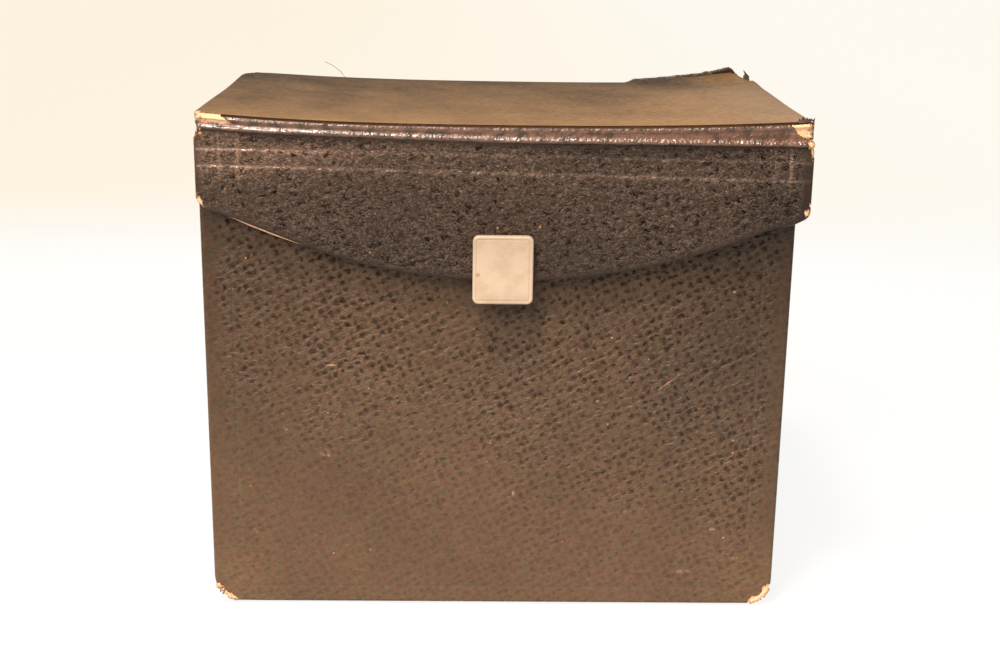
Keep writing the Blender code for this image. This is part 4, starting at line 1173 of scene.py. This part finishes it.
def torn_bits():
    """The curl of torn covering at the lid's back right corner, and frayed bits front and rear."""
    y = LID_HIGH[1]
    top = LID_HIGH[2] + float(lift(84, y))
    ribbon(
        "torn_curl",
        [
            (84.6, y - 0.4, top - 0.6), (85, y - 0.2, top + 0.8), (84.9, y, top + 2),
            (83.9, y - 0.3, top + 3.2),
        ],
        [(1.4, 0, 0.0), (1.1, 0, -0.3), (0.8, 0, -0.5), (0.15, 0, -0.2)],
        PLAIN_LEATHER, ragged=0.35,
    )
    front = LID_LOW[1] + 0.6
    rim = LID_HIGH[2] + float(lift(86)) - 0.2
    generator = np.random.default_rng(7)
    for number in range(9):
        x = 83.0 + 0.48 * number
        lean = generator.uniform(-0.5, 0.5)
        tall = generator.uniform(0.6, 1.9) * (1 - abs(number - 4.5) / 9)
        foot = (x, front + 0.2, rim - 0.5)
        knee = (x + 0.3 * lean, front - 0.1, rim + 0.5 * tall)
        ribbon(
            f"frayed_fibre_{number}",
            [foot, knee, (x + lean, front - 0.2, rim + tall)],
            [(0.42, 0.1, 0), (0.22, 0.05, 0), (0.05, 0, 0)],
            PLAIN_LEATHER, thickness=0.12, ragged=0.4,
        )
    rear = LID_HIGH[1] - 0.2
    rise = LID_HIGH[2] + float(lift(-52, rear)) - 0.4
    ribbon(
        "frayed_thread",
        [
            (-51, rear, rise), (-52.6, rear, rise + 2.2), (-55, rear + 0.2, rise + 4),
            (-58, rear, rise + 5.4),
        ],
        [(0.07, 0, 0.05), (0.07, 0, 0.06), (0.06, 0, 0.07), (0.04, 0, 0.06)],
        LINEN, thickness=0.08,
    )
    ribbon(
        "frayed_lip",
        [
            (82.4, front - 0.1, rim - 0.2), (84.2, front - 0.2, rim), (85.8, front, rim + 0.1),
            (86.9, front + 0.4, rim),
        ],
        [(0, 0.1, 0.15), (0, 0.15, 0.45), (0, 0.15, 0.5), (0, 0.1, 0.2)],
        PLAIN_LEATHER, ragged=0.5,
    )


# ---------------------------------------------------------------- CAD nodes that stay


def finish_cad_nodes():
    """Gives each CAD node that still shows its material."""
    looks = {
        "strawboard": BOARD, "kraft_paper": KRAFT, "lining_paper": LINING, "nickelled_steel": STEEL,
        "leatherette": BASE_LEATHER,
    }
    slots = {s["node"]: s["material_slot"] for s in frame["record"]["subparts"]}
    for node, piece in frame["nodes"].items():
        look = looks.get(slots[node])
        if look is None:
            continue
        if not piece.data.materials:
            piece.data.materials.append(look)
        for material_slot in piece.material_slots:
            material_slot.material = look


# ---------------------------------------------------------------- stage, lights and camera


def floor():
    """A wide pale floor, white round the box and creamier far away."""
    n = Nodes("floor_paper")
    place = n.add("TexCoord").outputs["Object"]
    far = n.step(n.length(n.vector("MULTIPLY", place, (0.45, 1, 1))), 0.37, 0.68)
    warm = n.step(n.split(place)[0], -0.45, 0.55)
    cream = n.mix(warm, (1.0, 0.90, 0.75), (1.0, 0.965, 0.88))
    glow = n.add("Emission", {"Color": n.mix(far, (1.0, 0.995, 0.98), cream), "Strength": 1.0})
    paper = n.mix(far, (0.9, 0.89, 0.87), (0.5, 0.45, 0.38))
    look = n.wire(Base_Color=paper, Roughness=1.0, Specular_IOR_Level=0.0)
    amount = n.step(far, 0.0, 1.0, 0.90, 0.985)
    both = n.add("MixShader", {0: amount, 1: n.shader.outputs[0], 2: glow.outputs[0]})
    n.join(n.tree.nodes["Material Output"].inputs["Surface"], both.outputs[0])
    mesh = bpy.data.meshes.new("floor")
    bm = bmesh.new()
    bmesh.ops.create_grid(bm, x_segments=8, y_segments=8, size=4.0)
    bm.to_mesh(mesh)
    bm.free()
    mesh.materials.append(look)
    piece = bpy.data.objects.new("floor", mesh)
    bpy.context.scene.collection.objects.link(piece)


def area_light(name, place, target, size, power, colour):
    """A soft rectangular light that faces a target."""
    light = bpy.data.lights.new(name, "AREA")
    light.shape = "RECTANGLE"
    light.size, light.size_y = size
    light.energy = power
    light.color = colour
    lamp = bpy.data.objects.new(name, light)
    bpy.context.scene.collection.objects.link(lamp)
    lamp.location = place
    lamp.rotation_euler = (Vector(target) - Vector(place)).to_track_quat("-Z", "Y").to_euler()


def lights():
    """Soft warm light from above and in front, and a pale surround."""
    area_light("key", (-0.5, -0.95, 0.95), (0, 0, 0.08), (0.8, 0.6), 20, (1.0, 0.92, 0.82))
    area_light("spark", (-0.2, -0.45, 1.1), (0, 0, 0.1), (0.18, 0.18), 14, (1.0, 0.94, 0.86))
    area_light("back", (0.2, 1.3, 1.1), (0, 0, 0.1), (1.4, 0.8), 4, (1.0, 0.93, 0.84))
    world = bpy.data.worlds.new("surround")
    bpy.context.scene.world = world
    world.use_nodes = True
    background = world.node_tree.nodes["Background"]
    background.inputs["Color"].default_value = (1.0, 0.90, 0.78, 1.0)
    background.inputs["Strength"].default_value = 0.28


def camera():
    """The photograph's view, a little above the box and nearly square to its front."""
    place = Vector((-0.00685, -0.47153, 0.20894))
    yaw, pitch, roll = math.radians(1.036), math.radians(16.09), math.radians(-0.814)
    level = math.cos(pitch)
    ahead = Vector((math.sin(yaw) * level, math.cos(yaw) * level, -math.sin(pitch)))
    across = Vector((math.cos(yaw), -math.sin(yaw), 0))
    down = ahead.cross(across)
    right = math.cos(roll) * across + math.sin(roll) * down
    lower = -math.sin(roll) * across + math.cos(roll) * down
    data = bpy.data.cameras.new("camera")
    data.sensor_width = 36
    data.lens = 54.7
    data.clip_start = 0.01
    eye = bpy.data.objects.new("camera", data)
    bpy.context.scene.collection.objects.link(eye)
    turn = Matrix((right, -lower, -ahead)).transposed()
    eye.matrix_world = Matrix.Translation(place) @ turn.to_4x4()
    bpy.context.scene.camera = eye


camera()
case_covering()
rounded_plate("front_wall_cut", "front_wall_board", 1, 8.0, BOARD)
rounded_plate("base_sheet_cut", "base_sheet", 2, 12.0, BASE_LEATHER)
lid_covering()
bowed_block("lid_board_bowed", "lid_board", BOARD, 0.3, np.array([1.5, 0.9, 0]))
bowed_block("lid_lining_bowed", "lid_lining", LINING, 0.05)
flap_sheet()
top_turn_in()
rear_cloth()
inner_cloth()
clasp()
prong_tips()
torn_bits()
finish_cad_nodes()
floor()
lights()
bpy.context.scene.view_settings.view_transform = "Standard"
